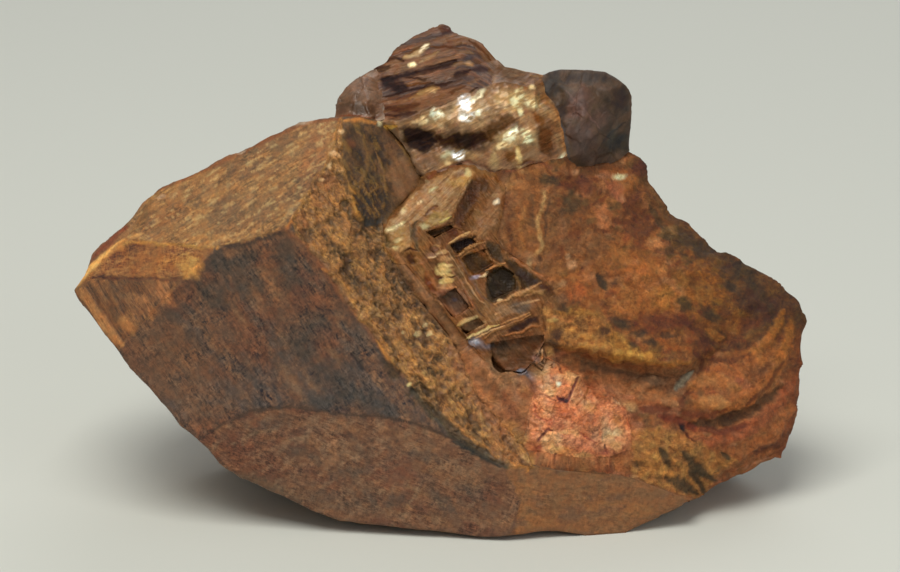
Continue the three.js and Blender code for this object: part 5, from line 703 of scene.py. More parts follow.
# ------------------------------------------------------------------ mica and the quartz grains on top
def paint_mica(s):
    top, low = s.patch(MICA_TOP, 2, .6), s.patch(MICA_LOW, 2, .6)
    x, y = s.x, s.y
    L, Sp, St, Pa = s.lay, s.spot, s.stroke, s.patch
    # layered upper part: leaves seen edge on, turned down at their right ends
    L(top, (126, 93, 68), (94, 68, 50), gloss=0.38, metal=0.1, net=0, depth=0.6)
    i, m = top
    bend = np.maximum(x[i] - 462, 0)
    q = y[i] + 0.24 * np.minimum(x[i], 462) - 0.012 * bend ** 2 - 0.12 * bend + 1.5 * s.grain[i] * 0.5
    leaf = noise(q / 2.4, x[i] / 50, seed=401); wide = noise(q / 5.2, x[i] / 60, seed=402); short = noise(q / 3.0 + 9, x[i] / 18, seed=403)
    s.rise[i] += m * (0.05 * leaf + 0.07 * wide + 0.03 * short)
    L((i, m * smooth(0.1, 0.7, wide + 0.4 * leaf)), (150, 113, 82), (118, 86, 62), metal=0.15, amount=0.8)
    L((i, m * smooth(-0.15, -0.75, wide + 0.35 * leaf)), (80, 63, 42), (61, 49, 33), amount=0.8)
    L((i, m * smooth(0.3, 0.8, short)), (146, 102, 74), (112, 78, 56), amount=0.5)
    s.flow[i] = np.stack([x[i] / 15, q / 1.8, np.full(len(i), 3.3)], 1)
    # the pale strokes from (405, 57) to (428, 45) and from (418, 94) to (436, 89) are painted highlights on the leaves
    for pts, w, c, r in (([(382,80),(392,85),(406,88)], 12, (52,42,36), -.12), ([(383,80),(402,76),(417,73)], 6, (58,46,36), -.08), ([(417,72),(436,68),(456,60)], 5.5, (70,54,38), -.10), ([(408,78),(428,80),(446,77)], 3.5, (76,58,46), -.06), ([(424,87),(440,85),(453,81)], 3.2, (82,62,46), -.06), ([(452,75),(464,73),(470,71)], 6, (68,54,42), -.08),
                         ([(471,71),(480,68),(490,70)], 6, (72,52,40), -.08), ([(386,96),(404,92),(424,88)], 3.4, (72,54,42), -.06), ([(420,112.5),(440,106),(458,98),(477,87)], 2.6, (66,50,38), -.10), ([(382,108),(400,109),(418,104)], 7, (100,71,47), -.03), ([(386,98),(400,98),(412,96)], 3, (122,82,56), .03), ([(384,116),(400,115),(416,111)], 3.4, (78,58,44), -.05),
                         ([(386,60),(396,58),(404,60)], 4, (84,64,48), -.05), ([(372,70),(380,70),(388,66)], 7, (80,62,48), -.03), ([(405,57),(416,52.5),(428,45)], 5.6, (216,196,160), .08), ([(406,54),(416,49),(424,45)], 2, (120,90,70), -.03), ([(420,61.5),(430,57),(439,52)], 3.4, (182,154,114), .05), ([(396,73),(406,67),(414,63)], 4.5, (136,106,76), .04),
                         ([(393,54),(403,50),(414,46.5)], 3, (158,106,70), .03), ([(434,41),(450,38),(466,42)], 6, (142,108,84), .05), ([(426,83),(438,78),(452,75)], 6, (124,92,72), .05), ([(412,99),(424,94),(438,88)], 7, (176,138,98), .06), ([(418,94),(428,91.5),(436,89)], 3.6, (220,184,134), .05), ([(456,56),(464,52.5),(473,53)], 4, (148,114,84), .04),
                         ([(452,65),(462,62),(470,63)], 4, (142,112,80), .04), ([(478,48),(492,60),(504,74)], 8, (150,115,84), .03), ([(470,41),(482,50),(492,60)], 3.4, (110,80,60), -.05), ([(455,90),(468,84),(483,76)], 4.5, (134,99,72), .04), ([(440,98),(452,92),(466,85)], 3, (114,82,58), .02), ([(430,48),(446,46),(460,48)], 3.4, (112,80,58), -.03), ([(408,86),(418,84),(430,82)], 2.4, (120,88,64), .03),
                         ([(392,104),(404,103),(414,100)], 2.4, (138,96,68), .03), ([(425,101),(438,97),(450,93)], 2.6, (146,108,76), .03)):
        L(St(pts, w, ragged=.6, soft=.75, taper=.5), c if c[0] > 90 else (c[0], 1.05 * c[1], 0.8 * c[2]), rise=r, gloss=0.5 if c[0] > 120 else 0.14, amount=0.9)
    L(Sp(470, 57.5, 6, 3, 12, .6, .7), (62, 46, 34), rise=-0.08, amount=0.9); L(Sp(448, 28, 8, 5, 25, .8, .7), (96, 64, 52), amount=0.8)
    # the first spot here, at (470, 63.5), is a painted highlight
    L(Sp(470, 63.5, 3.2, 2.2, 0, .6, .7), (212, 176, 136), amount=0.9); L(Sp(498, 74, 8, 7, -40, .8, .8), (150, 114, 86), amount=0.6)
    # crumpled lower part: the leaves bent over towards the front, some catching the light, with painted glow and
    # painted highlights there
    L(low, (146, 114, 84), (106, 78, 57), gloss=0.55, metal=0.12, net=0, depth=0.35); s.run(low, 28, 13, 3.2, 41)
    s.swell(low, 28, 30, 10, 410, 0.20, 3, True); s.swell(low, -40, 15, 9, 411, 0.12, 2)
    L(s.streaked(low, 28, 28, 9, 412, 0.0, 0.5), (176, 144, 108), (140, 110, 82), amount=0.7)
    L(s.streaked(low, 28, 22, 8, 413, 0.05, 0.5), (102, 74, 54), (74, 54, 42), amount=0.75)
    L(s.streaked(low, 62, 14, 6, 414, 0.1, 0.5), (158, 116, 88), (122, 86, 66), amount=0.6)
    # the light spots at (437, 119), (470, 110), (498, 100), (508, 94), (516, 102), (533, 102), (508, 140), (528, 138),
    # (452, 157), (446, 163), (493, 156) and (518, 156) are painted glow round the painted highlights
    for q, c, a in (((452,112,12,7,30),(168,141,108),.85), ((416,122,12,5,8),(152,120,86),.8), ((437,119,8,8,0),(178,148,108),.8), ((470,110,14,13,0),(206,180,142),.85), ((490,108,14,7,12),(156,126,94),.85), ((498,100,12,5,10),(186,156,112),.85), ((508,94,9,6,20),(176,148,106),.85), ((516,102,7,12,-25),(190,166,118),.85),
                    ((533,102,9,6,-25),(186,160,116),.85), ((544,112,8,5,-10),(160,130,94),.7), ((518,80,18,8,-12),(150,116,84),.85), ((505,82,10,7,-30),(134,104,78),.7), ((487,100,6,8,30),(134,106,80),.6), ((508,140,13,9,45),(196,172,130),.9), ((528,138,9,9,0),(184,160,118),.85), ((500,155,9,9,0),(150,116,84),.85), ((493,156,3.4,9,5),(176,150,108),.8),
                    ((518,156,4,10,0),(186,158,112),.8), ((530,153,8,7,0),(152,116,86),.8), ((452,157,14,5,8),(176,156,120),.85), ((472,156,12,4,5),(156,124,86),.85), ((446,163,7,3,40),(176,142,100),.8), ((430,152,10,3,25),(124,92,66),.8), ((432,162,10,6,20),(112,82,60),.8), ((548,160,9,5,0),(150,108,78),.8), ((552,120,6,10,0),(128,90,62),.7),
                    ((480,148,10,6,0),(96,66,46),.8), ((478,160,8,3,0),(120,84,60),.7), ((424,112,6,3,20),(160,128,92),.7), ((398,122,6,3,0),(140,108,78),.7)):
        L(Sp(*q, .9, .85), c, amount=a, metal=0.12)
    for pts, c, r in (([(399,128),(410,126),(424,128),(434,131),(439,142),(434,150),(420,153),(410,150),(404,142)], (46,40,33), -.12), ([(436,133),(446,136),(455,133),(470,131),(484,131),(490,140),(484,147),(470,150),(452,149),(440,146)], (66,54,40), -.10), ([(484,128),(496,118),(508,114),(518,118),(514,124),(502,130),(494,140),(488,144)], (84,62,47), -.08),
                      ([(538,128),(546,124),(553,132),(555,146),(550,156),(542,152),(537,140)], (94,64,47), -.08), ([(455,136),(466,132),(476,138),(470,146),(458,146)], (58,54,38), -.04), ([(531,112),(540,112),(548,120),(542,128),(533,122)], (112,76,50), -.04), ([(504,152),(514,148),(516,160),(506,164)], (124,88,62), -.03)):
        L(Pa(pts, 3.6, 1.3), [q * f for q, f in zip(c, (.84, .76, .68) if c[0] < 80 else (1.03, 1.0, .95))], rise=r, gloss=0.12, metal=0, depth=.6, amount=0.95)
    L(St([(541,96),(551,105),(559,117),(563,132),(564.5,150)], 5, ragged=.8, taper=.3), (160, 120, 82), (124, 90, 62), rise=0.08, amount=0.8)
    L(Sp(545, 100, 5, 5, -30, .8), (140, 98, 60), amount=.7); L(Sp(552, 114, 3.4, 6, 15, .8), (176, 142, 104), amount=.7)
    # painted highlight: the tail of the glint at (563.5, 158)
    L(St([(544,164),(556,164),(564,162)], 4), (204, 158, 120), (166, 124, 92), amount=0.8)
    # painted highlight: a golden streak beside the glint at (380, 121)
    L(St([(385,126.5),(392,127),(397,126.5)], 3.6), (226, 172, 84), (186, 134, 64), amount=0.9)
    L(St([(429,177),(440,170),(450,166),(468,160.6),(485,166),(494,174),(511,171),(524,162),(540,163),(566,168)], 3, ragged=.6, taper=.2), (104, 62, 42), (76, 48, 36), rise=-0.05, amount=0.85)
    s.tone(top, (.545,.425,.285), 1.02, 1.1); s.tone(low, (.91,.84,.70), 1.0, 1.1)
    s.tone(Pa([(496,62),(512,66),(540,70),(544,84),(530,92),(512,84),(498,84),(490,76)], 4, 1), (.62,.50,.34), 1.0, 1.4)
    L(Sp(514, 73, 19, 10, -14, .8, .7), (94, 69, 47), (77, 56, 38), gloss=.10, metal=0, amount=.92)
    L(s.streaked(Sp(512, 72, 18, 9, -14, .8, .8), -10, 22, 2.4, 415, -.1, .3), (78, 58, 44), (60, 45, 34), gloss=.10, metal=0, amount=.7)
    L(s.streaked(Sp(520, 76, 20, 9, -14, .8, .8), -10, 18, 3, 416, .05, .35), (142, 110, 74), (114, 86, 58), gloss=.16, metal=0, amount=.7)
    # painted highlights on leaves that lean to catch the key light
    for q, c, mt in (((465.5,105,7.2,8,0),(255,252,246),.9), ((466,117,6,4.4,0),(255,252,226),.8), ((478,95.5,8.5,3,38),(214,198,158),.3), ((478,112.5,3,2.8,0),(214,210,180),.3), ((437,115,5.4,4.6,-20),(250,238,190),.5), ((424,120,3.6,4,0),(206,186,140),.3), ((415,121.5,5,3,0),(178,152,112),.2), ((380,121,3.4,4,0),(244,226,180),.4), ((441,124,3,6,0),(176,144,104),.15),
                     ((517,98,4.4,8,-28),(226,208,158),.3), ((521,111,3,4.6,0),(226,208,158),.3), ((530,103,7,3.2,-22),(222,202,152),.3), ((532,87,3.8,3.4,0),(206,184,130),.3), ((512,135,9,4.4,52),(246,234,188),.45), ((501,146,5,3,35),(222,198,150),.3), ((525,134,4.4,4.4,0),(228,214,164),.4), ((528,141,5.4,2.6,15),(230,218,170),.4),
                     ((518.5,156,2.4,8,2),(206,182,124),.3), ((457.5,155,6,4.4,0),(255,254,226),.9), ((447,154,5,2.6,15),(176,166,130),.25), ((448,162.5,3.4,2.2,30),(196,168,118),.25), ((563.5,158,3.6,4.6,0),(250,232,184),.6), ((413,64,3.2,2.8,0),(236,214,164),.5), ((424,48,5,2,32),(212,190,152),.35), ((430,92,6,2.2,12),(196,160,112),.3)):
        s.glint(*q, tint=c, power=mt, edge=.6, ragged=1.1, gloss=.7, metal=.25, broken=28)

def paint_quartz(s):
    L, Sp, St, Pa = s.lay, s.spot, s.stroke, s.patch
    pale = Pa([(330,118),(338,95),(352,76),(372,66),(382,76),(384,118),(360,122)], 2, .3)
    L(pale, (150, 134, 118), (116, 100, 88), gloss=0.6, net=0, depth=0.4); s.run(pale, 40, 14, 7, 51)
    s.flakes(pale, 13, 510, 0.16, 0.02)
    for q, c, a in (((360,88,10,8,-30),(168,156,148),.8), ((372,96,5,10,0),(166,150,136),.6), ((352,104,10,4,0),(96,82,68),.7), ((365,109,14,5,0),(84,68,54),.85), ((345,100,5,7,-40),(132,118,98),.6), ((375,80,5,6,0),(146,118,92),.7), ((355,97,5,4,0),(112,98,86),.6), ((368,76,6,3,20),(174,158,140),.6)):
        L(Sp(*q, .8), c, amount=a)
    L(St([(335,117),(350,116),(368,118),(380,119)], 3), (150, 98, 62), (112, 72, 48), amount=0.8)
    L(St([(372,78),(366,92),(372,108)], 3, soft=.9), (168, 152, 134), (136, 120, 104), amount=0.5)
    s.tone(pale, (.50,.36,.28), .9)
    dk = Pa([(538,62),(620,60),(640,80),(645,150),(630,185),(560,180),(570,160),(566,128),(552,104),(540,88)], 2, .3)
    L(dk, (96, 84, 74), (72, 62, 54), gloss=0.35, net=0, depth=0.5); s.run(dk, 60, 16, 8, 52)
    s.swell(dk, 60, 26, 14, 521, 0.20, 4); s.flakes(dk, 17, 520, 0.10)
    L(s.streaked(dk, 60, 24, 12, 522, 0.05, 0.4), (66, 58, 46), (50, 44, 36), amount=0.7)
    L(s.streaked(dk, -40, 18, 10, 523, 0.15, 0.45), (112, 96, 86), (86, 74, 66), amount=0.6)
    for q, c, a in (((552,86,11,12,-20),(60,56,44),.85), ((585,78,28,5,0),(70,62,52),.8), ((578,104,12,16,-30),(104,88,90),.85), ((621,100,9,14,0),(64,54,44),.85), ((617,142,14,11,0),(60,58,48),.85), ((583,140,14,18,20),(92,80,82),.8), ((600,118,12,10,0),(98,84,84),.7), ((596,158,12,7,10),(92,80,80),.7), ((572,165,8,8,0),(78,68,62),.7), ((574,86,4,6,0),(120,106,98),.8), ((580,112,7,3,-40),(116,100,106),.7), ((560,112,6,10,-20),(70,60,54),.8), ((610,165,14,6,10),(88,76,74),.7), ((606,90,10,6,0),(84,74,66),.6)):
        L(Sp(*q, .8), c, amount=a)
    L(St([(598,150),(610,134),(625,122)], 2.4), (50, 46, 38), (40, 36, 32), amount=0.7, rise=-0.04)
    L(St([(567,92),(580,104),(592,120),(600,128)], 2.4), (122, 104, 108), (98, 84, 88), amount=0.7, rise=0.03)
    s.tone(dk, (.88,.64,.43), 1.3, 1.1)

def paint_feldspar(s):
    L, Sp, St, Pa = s.lay, s.spot, s.stroke, s.patch
    m = Pa(FELDSPAR, 8, 4)
    L(m, (196, 126, 84), (152, 88, 58), gloss=0.45, net=0, depth=0.6); s.run(m, 35, 4.5, 3.5, 61)
    L(s.streaked(m, 35, 16, 10, 601, .0, .35), (206, 142, 98), (168, 108, 72), amount=0.7)
    L(s.streaked(m, -40, 14, 9, 602, .1, .4), (176, 102, 64), (138, 76, 50), amount=0.7)
    s.flakes(m, 12, 610, 0.14, 0.02); s.flakes(m, 5, 620, 0.14); s.swell(m, 25, 14, 9, 611, 0.10)
    for q, c, a in (((611,434,6,9,-75),(200,166,120),.9), ((603,426,7,9,0),(176,126,88),.7), ((609,440,9,5,20),(196,146,104),.8), ((629,405,8,5,-25),(184,150,104),.85), ((620,400,6,5,0),(166,118,80),.7), ((590,408,5,6,0),(190,136,84),.8), ((580,400,7,6,0),(182,128,86),.7),
                    ((549,391,7,5,0),(212,160,110),.9), ((542,372,7,5,0),(172,130,88),.85), ((539,354,4,3,-30),(206,170,110),.85), ((549,352,5,4,0),(190,142,86),.7), ((545,362,8,6,0),(164,116,80),.8), ((556,378,5,5,0),(196,142,106),.8), ((569,377,8,6,0),(222,156,104),.9), ((563,387,5,6,0),(200,122,80),.7),
                    ((545,384,8,6,0),(196,140,100),.8), ((540,402,6,7,0),(206,140,96),.8), ((548,411,8,6,0),(206,138,92),.8), ((538,411,6,7,-10),(206,128,84),.8), ((566,412,9,6,0),(176,96,58),.8), ((560,402,7,5,0),(172,96,60),.7), ((550,421,8,4,10),(196,110,76),.8), ((586,420,12,10,0),(174,100,62),.7), ((532,428,5,9,0),(206,130,88),.85),
                    ((541,425,4,4,0),(190,136,100),.7), ((552,440,9,8,0),(212,156,108),.85), ((556,449,6,4,0),(224,170,106),.8), ((548,452,7,4,0),(200,140,92),.7), ((565,452,8,5,0),(204,136,80),.8), ((575,438,10,7,0),(190,118,82),.8), ((585,446,9,6,0),(196,122,86),.7), ((575,432,5,4,0),(202,148,96),.7), ((565,432,4,3,0),(206,150,96),.7),
                    ((596,434,6,7,0),(172,116,82),.7), ((600,448,8,5,0),(176,104,68),.7), ((590,428,5,7,0),(160,94,58),.7), ((616,446,5,5,0),(196,138,86),.7), ((617,418,5,8,0),(164,110,66),.7), ((622,430,4,10,0),(170,116,70),.7), ((600,396,10,5,-20),(150,86,52),.75), ((575,385,5,5,0),(166,112,72),.7),
                    ((530,372,5,8,0),(126,86,60),.85), ((533,388,4,6,0),(128,80,58),.7), ((558,360,4,8,-60),(120,82,58),.85), ((568,360,6,5,0),(146,96,58),.7), ((575,368,6,6,0),(160,104,64),.7), ((524,404,5,9,0),(156,102,66),.7), ((585,455,8,3,0),(190,138,84),.7), ((606,452,6,3,0),(150,80,58),.7), ((560,426,5,4,0),(170,96,66),.7)):
        L(Sp(*q, 1.2, .7), c, amount=a)
    for pts, w, c in (([(557,396),(562,400),(566,403),(569,396),(573,386),(577,378)], 2.6, (104,52,46)), ([(560,399),(566,403)], 5, (96,48,42)), ([(539,441),(543,434),(548,428),(553,430)], 2.6, (128,70,56)), ([(556,358),(559,364),(561,372)], 2.6, (116,74,54)), ([(534,394),(542,393),(548,397),(556,402)], 1.8, (150,90,60)), ([(548,460),(552,457),(556,454)], 3, (96,54,36)),
                      ([(522,456),(527,461)], 4, (100,58,38)), ([(580,432),(588,440),(596,444)], 1.8, (164,90,62)), ([(605,444),(606,448)], 2, (90,56,42)), ([(531,446),(536,448),(540,446)], 3, (150,80,58)), ([(533,404),(538,416),(546,420)], 1.8, (166,90,60)), ([(590,384),(584,396),(578,404)], 3, (140,84,48))):
        L(St(pts, w, ragged=.9, taper=.4), c, rise=-0.06, amount=0.8)
    # painted highlight on the feldspar
    s.glint(558, 383, 2.8, 2.6, tint=(255, 226, 186), power=0.3, metal=0)
    s.tone(m, (1.25,1.40,1.47), 1.2, 1.15)

def front(x, y, n, node):
    """the front's surface values at face places x, y"""
    s = Front(x, y, n)
    if node in BASE:
        s.lay((np.arange(len(x)), np.ones(len(x))), *BASE[node])
    if node == "mica_book":
        paint_mica(s)
    elif node.startswith("quartz"):
        paint_quartz(s)
    elif node == "columbite_crystal":
        s.run((np.arange(len(x)), np.ones(len(x))), -40, 10, 4, 9)
        paint_crystal(s)
    else:
        paint_rock(s); paint_middle(s); paint_feldspar(s); tone_rock(s); tone_cells(s); paint_crystal(s)
        band = BAND
        s.lay(s.stroke(band, 10, ragged=.7, soft=.7, taper=.2), (124, 86, 56), (98, 68, 44), net=0, depth=.4, amount=.95)
        s.lay(s.streaked(s.stroke(band, 11, taper=.2), -54, 16, 2.4, 305, .0, .35), (146, 102, 66), (116, 80, 52), amount=.7)
        s.lay(s.streaked(s.stroke(band, 11, taper=.2), -54, 12, 3, 306, .15, .4), (96, 66, 44), (76, 54, 36), amount=.6)
        i, m = s.stroke(band, 10, taper=.2); s.run((i, m), -54, 14, 2.4, 33)
        s.lay(s.spot(426, 178, 6, 4, 30, .6), (96, 66, 42), (74, 50, 33), amount=.8)
        s.lay(s.stroke([(462,348),(474,362),(486,379),(497,396)], 15, ragged=1.0, soft=.8, taper=.3), (114, 76, 48), (94, 61, 38), amount=.75)
        s.lay(s.stroke([(429,177),(440,170),(456,164),(472,162),(488,168),(500,173),(512,170),(536,161),(552,166)], 3.4, ragged=.5, taper=.2), (110, 66, 44), (80, 50, 36), rise=-0.08, amount=0.9)
    return s

# ------------------------------------------------------------------ meshes
def cad_mesh(node):
    """vertices (mm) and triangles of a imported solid, with shared corners"""
    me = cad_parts[node].data
    co = np.zeros(len(me.vertices) * 3); me.vertices.foreach_get("co", co)
    co = co.reshape(-1, 3) * 1000
    me.calc_loop_triangles()
    t = np.zeros(len(me.loop_triangles) * 3, np.int32); me.loop_triangles.foreach_get("vertices", t)
    key = np.round(co * 500).astype(np.int64)
    _, first, inv = np.unique(key, axis=0, return_index=True, return_inverse=True)
    t = inv.reshape(-1)[t].reshape(-1, 3)
    t = t[(t[:, 0] != t[:, 1]) & (t[:, 1] != t[:, 2]) & (t[:, 2] != t[:, 0])]
    return co[first], t

def refine(v, t, longest, rounds=14):
    """splits every edge longer than its triangles' own limit, neighbours together; also returns each triangle's parent"""
    parent = np.arange(len(t))
    for _ in range(rounds):
        e = np.stack([t[:, [0, 1]], t[:, [1, 2]], t[:, [2, 0]]], 1).reshape(-1, 2)
        es = np.sort(e, 1)
        u, inv = np.unique(es[:, 0].astype(np.int64) * len(v) + es[:, 1], return_inverse=True)
        inv = inv.reshape(-1)
        ua, ub = (u // len(v)).astype(np.int64), (u % len(v)).astype(np.int64)
        limit = np.full(len(u), 1e9)
        np.minimum.at(limit, inv, np.repeat(longest[parent], 3))
        flag = np.linalg.norm(v[ua] - v[ub], axis=1) > limit
        if not flag.any():
            break
        new = np.full(len(u), -1, np.int64)
        new[flag] = len(v) + np.arange(flag.sum())
        v = np.concatenate([v, (v[ua][flag] + v[ub][flag]) / 2])
        m = new[inv].reshape(-1, 3)
        a, b, c = t.T
        ab, bc, ca = m.T
        k = (ab >= 0) * 1 + (bc >= 0) * 2 + (ca >= 0) * 4
        out, own = [t[k == 0]], [parent[k == 0]]
        def add(sel, *tris):
            for tri in tris:
                out.append(np.stack([q[sel] for q in tri], 1)); own.append(parent[sel])
        s = np.where(k == 7)[0]; add(s, (a, ab, ca), (ab, b, bc), (ca, bc, c), (ab, bc, ca))
        for code, (A, B, C, AB) in {1: (a, b, c, ab), 2: (b, c, a, bc), 4: (c, a, b, ca)}.items():
            s = np.where(k == code)[0]; add(s, (A, AB, C), (AB, B, C))
        for code, (A, B, C, AB, BC) in {3: (a, b, c, ab, bc), 6: (b, c, a, bc, ca), 5: (c, a, b, ca, ab)}.items():
            s = np.where(k == code)[0]
            if len(s):  # corner B is cut off; the quad A, AB, BC, C takes its shorter diagonal
                short = np.linalg.norm(v[A[s]] - v[BC[s]], axis=1) < np.linalg.norm(v[AB[s]] - v[C[s]], axis=1)
                add(s, (AB, B, BC))
                add(s[short], (A, AB, BC), (A, BC, C))
                add(s[~short], (A, AB, C), (AB, BC, C))
        t, parent = np.concatenate(out), np.concatenate(own)
    return v, t, parent

def normals(v, t):
    fn = np.cross(v[t[:, 1]] - v[t[:, 0]], v[t[:, 2]] - v[t[:, 0]])
    n = np.zeros_like(v)
    for i in range(3):
        np.add.at(n, t[:, i], fn)
    return n / np.maximum(np.linalg.norm(n, axis=1), 1e-12)[:, None]

def relax(v, t, rounds, amount=0.5, hold=None):
    """evens the spacing of the points by sliding each towards its neighbours' mean, along the surface only"""
    e = np.unique(np.sort(np.concatenate([t[:, [0, 1]], t[:, [1, 2]], t[:, [2, 0]]]), 1), axis=0)
    for _ in range(rounds):
        s = np.zeros_like(v); c = np.zeros(len(v))
        np.add.at(s, e[:, 0], v[e[:, 1]]); np.add.at(s, e[:, 1], v[e[:, 0]])
        np.add.at(c, e[:, 0], 1); np.add.at(c, e[:, 1], 1)
        d = s / c[:, None] - v
        n = normals(v, t)
        d -= (d * n).sum(1)[:, None] * n
        if hold is not None:
            d *= (1 - hold)[:, None]
        v = v + amount * d
    return v

NODES = ["columbite_crystal", "matrix_rock", "mica_book", "quartz_smoky", "quartz_pale", "feldspar_pink", "columbite_ladder"]
CAD = {n: cad_mesh(n) for n in NODES}
TREES = {n: BVHTree.FromPolygons([tuple(p) for p in v], [tuple(int(i) for i in q) for q in t]) for n, (v, t) in CAD.items()}

def neighbours(node, v, reach):
    """for each point the nearest place on another mineral and its distance (reach where there is none)"""
    near = v.copy(); dist = np.full(len(v), reach)
    lo, hi = CAD[node][0].min(0), CAD[node][0].max(0)
    for other in NODES:
        if other == node:
            continue
        ol, oh = CAD[other][0].min(0) - reach, CAD[other][0].max(0) + reach
        if (ol > hi).any() or (oh < lo).any():
            continue
        idx = np.where(((v > ol) & (v < oh)).all(1))[0]
        tree = TREES[other]
        for i in idx:
            q, _, _, d = tree.find_nearest(Vector(v[i]), reach)
            if q is not None and d < dist[i]:
                dist[i] = d; near[i] = q
    return near, dist

def closing(node, v, reach=1.6):
    """the way each point goes towards the minerals beside it, so that the clearances between the solids close up; at a
    corner between two minerals it goes to both, but never away from the nearer one"""
    lo, hi = CAD[node][0].min(0), CAD[node][0].max(0)
    strength = 0.35 if node == "columbite_crystal" else 0.85
    ways, dists = [], []
    for other in NODES:
        if other == node:
            continue
        ol, oh = CAD[other][0].min(0) - reach, CAD[other][0].max(0) + reach
        if (ol > hi).any() or (oh < lo).any():
            continue
        w, dd = np.zeros_like(v), np.full(len(v), 9.0)
        tree = TREES[other]
        for i in np.where(((v > ol) & (v < oh)).all(1))[0]:
            q, _, _, d = tree.find_nearest(Vector(v[i]), reach)
            if q is not None:
                w[i] = np.array(q) - v[i]; dd[i] = d
        ways.append(w); dists.append(dd)
    if not ways:
        return np.zeros_like(v)
    ways, dists = np.array(ways), np.array(dists)
    first = dists.argmin(0)
    main = np.take_along_axis(ways, first[None, :, None], 0)[0]
    unit = main / np.maximum(np.linalg.norm(main, axis=1), 1e-9)[:, None]
    go = np.zeros_like(v)
    for k in range(len(ways)):
        part = strength * smooth(reach, 0.6, dists[k])
        along = (ways[k] * unit).sum(1) / np.maximum(dists[k], 1e-9)
        go += ways[k] * (part * np.where(first == k, 1, smooth(-0.1, 0.3, along)))[:, None]
    size = np.linalg.norm(go, axis=1)
    return go * np.minimum(1, 1.2 / np.maximum(size, 1e-9))[:, None]

def to_object(name, v, t, attrs, smooth_shading=True):
    me = bpy.data.meshes.new(name)
    me.vertices.add(len(v)); me.vertices.foreach_set("co", (v / 1000).astype(np.float32).ravel())
    me.loops.add(len(t) * 3); me.loops.foreach_set("vertex_index", t.astype(np.int32).ravel())
    me.polygons.add(len(t))
    me.polygons.foreach_set("loop_start", np.arange(0, len(t) * 3, 3, dtype=np.int32))
    me.polygons.foreach_set("loop_total", np.full(len(t), 3, np.int32))
    me.update(calc_edges=True)
    me.validate()
    me.polygons.foreach_set("use_smooth", np.full(len(me.polygons), smooth_shading))
    for k, a in attrs.items():
        if k == "Flow":
            at = me.attributes.new(k, "FLOAT_VECTOR", "POINT"); at.data.foreach_set("vector", a.astype(np.float32).ravel())
        elif a.ndim == 2:
            at = me.attributes.new(k, "FLOAT_COLOR", "POINT")
            at.data.foreach_set("color", np.concatenate([a, np.ones((len(a), 1))], 1).astype(np.float32).ravel())
        else:
            at = me.attributes.new(k, "FLOAT", "POINT")
            at.data.foreach_set("value", a.astype(np.float32))
    ob = bpy.data.objects.new(name, me)
    bpy.context.scene.collection.objects.link(ob)
    return ob

def rock_noise(P, seed=0):
    """relief of the broken, weathered sides and back (mm)"""
    X, Y, Z = P.T
    r = 0.55 * fbm(X / 9, Y / 9, Z / 9, 4, seed + 40) + 0.16 * fbm(X / 1.6, Y / 1.6, Z / 1.6, 3, seed + 41)
    f1, f2 = cells(X / 5, Y / 5, Z / 5, seed + 42)[:2]
    return r - 0.35 * smooth(0.25, 0.0, f2 - f1)

def face_normals(v, t):
    n = np.cross(v[t[:, 1]] - v[t[:, 0]], v[t[:, 2]] - v[t[:, 0]])
    return n / np.maximum(np.linalg.norm(n, axis=1), 1e-12)[:, None]

def soften(v, t, amount):
    """rounds corners: moves each point towards its neighbours' mean by amount (0 to 1 per point), several times"""
    e = np.unique(np.sort(np.concatenate([t[:, [0, 1]], t[:, [1, 2]], t[:, [2, 0]]]), 1), axis=0)
    c = np.bincount(e.ravel(), minlength=len(v))
    for k in range(amount.shape[0]):
        s = np.stack([np.bincount(e[:, 0], v[e[:, 1], i], len(v)) + np.bincount(e[:, 1], v[e[:, 0], i], len(v)) for i in range(3)], 1)
        v = v + (s / c[:, None] - v) * amount[k][:, None]
    return v

SIZE = {  # longest edge (mm): on the front, elsewhere
    "columbite_crystal": (0.35, 0.85), "matrix_rock": (0.262, 0.85), "mica_book": (0.11, 0.30), "quartz_smoky": (0.16, 0.35),
    "quartz_pale": (0.14, 0.35), "feldspar_pink": (0.10, 0.6), "columbite_ladder": (0.10, 0.6)}
ROUND = {"columbite_crystal": (3, 7), "matrix_rock": (4, 14), "mica_book": (3, 3), "quartz_smoky": (10, 10), "quartz_pale": (3, 6), "feldspar_pink": (3, 3), "columbite_ladder": (1, 1)}
BASE = {"columbite_crystal": ((142, 104, 68), (96, 72, 50)), "mica_book": ((140, 112, 86), (98, 76, 58)), "quartz_smoky": ((92, 82, 76), (70, 62, 58)),
        "quartz_pale": ((150, 134, 118), (116, 100, 88)), "feldspar_pink": ((196, 124, 82), (154, 88, 58))}

SHADE = {"columbite_crystal": (.86,.80,.78), "matrix_rock": (.81,.83,.77), "mica_book": (.60,.46,.33), "quartz_smoky": (1.0,.74,.5), "quartz_pale": (.52,.38,.30), "feldspar_pink": (.72,.80,.60), "columbite_ladder": (.61,.54,.38)}

PUSH = {"mica_book": ((384, 74, 9, -0.9, 0.35, 0), (376, 90, 9, -0.4, 0, 0), (396, 124, 7, -0.2, 0, 0.3), (405, 135, 7, -0.3, -0.1, 0.4), (412, 147, 7, -0.3, -0.1, 0.4), (419, 160, 7, -0.35, -0.15, 0.5), (425, 172, 7, -0.35, -0.6, 0.5)),
        "quartz_pale": ((376, 74, 8, 0.5, 0.35, 0), (335, 98, 7, -0.25, 0.1, 0)), "columbite_ladder": ((428, 179, 6, -0.35, 0.45, 0.2),)}

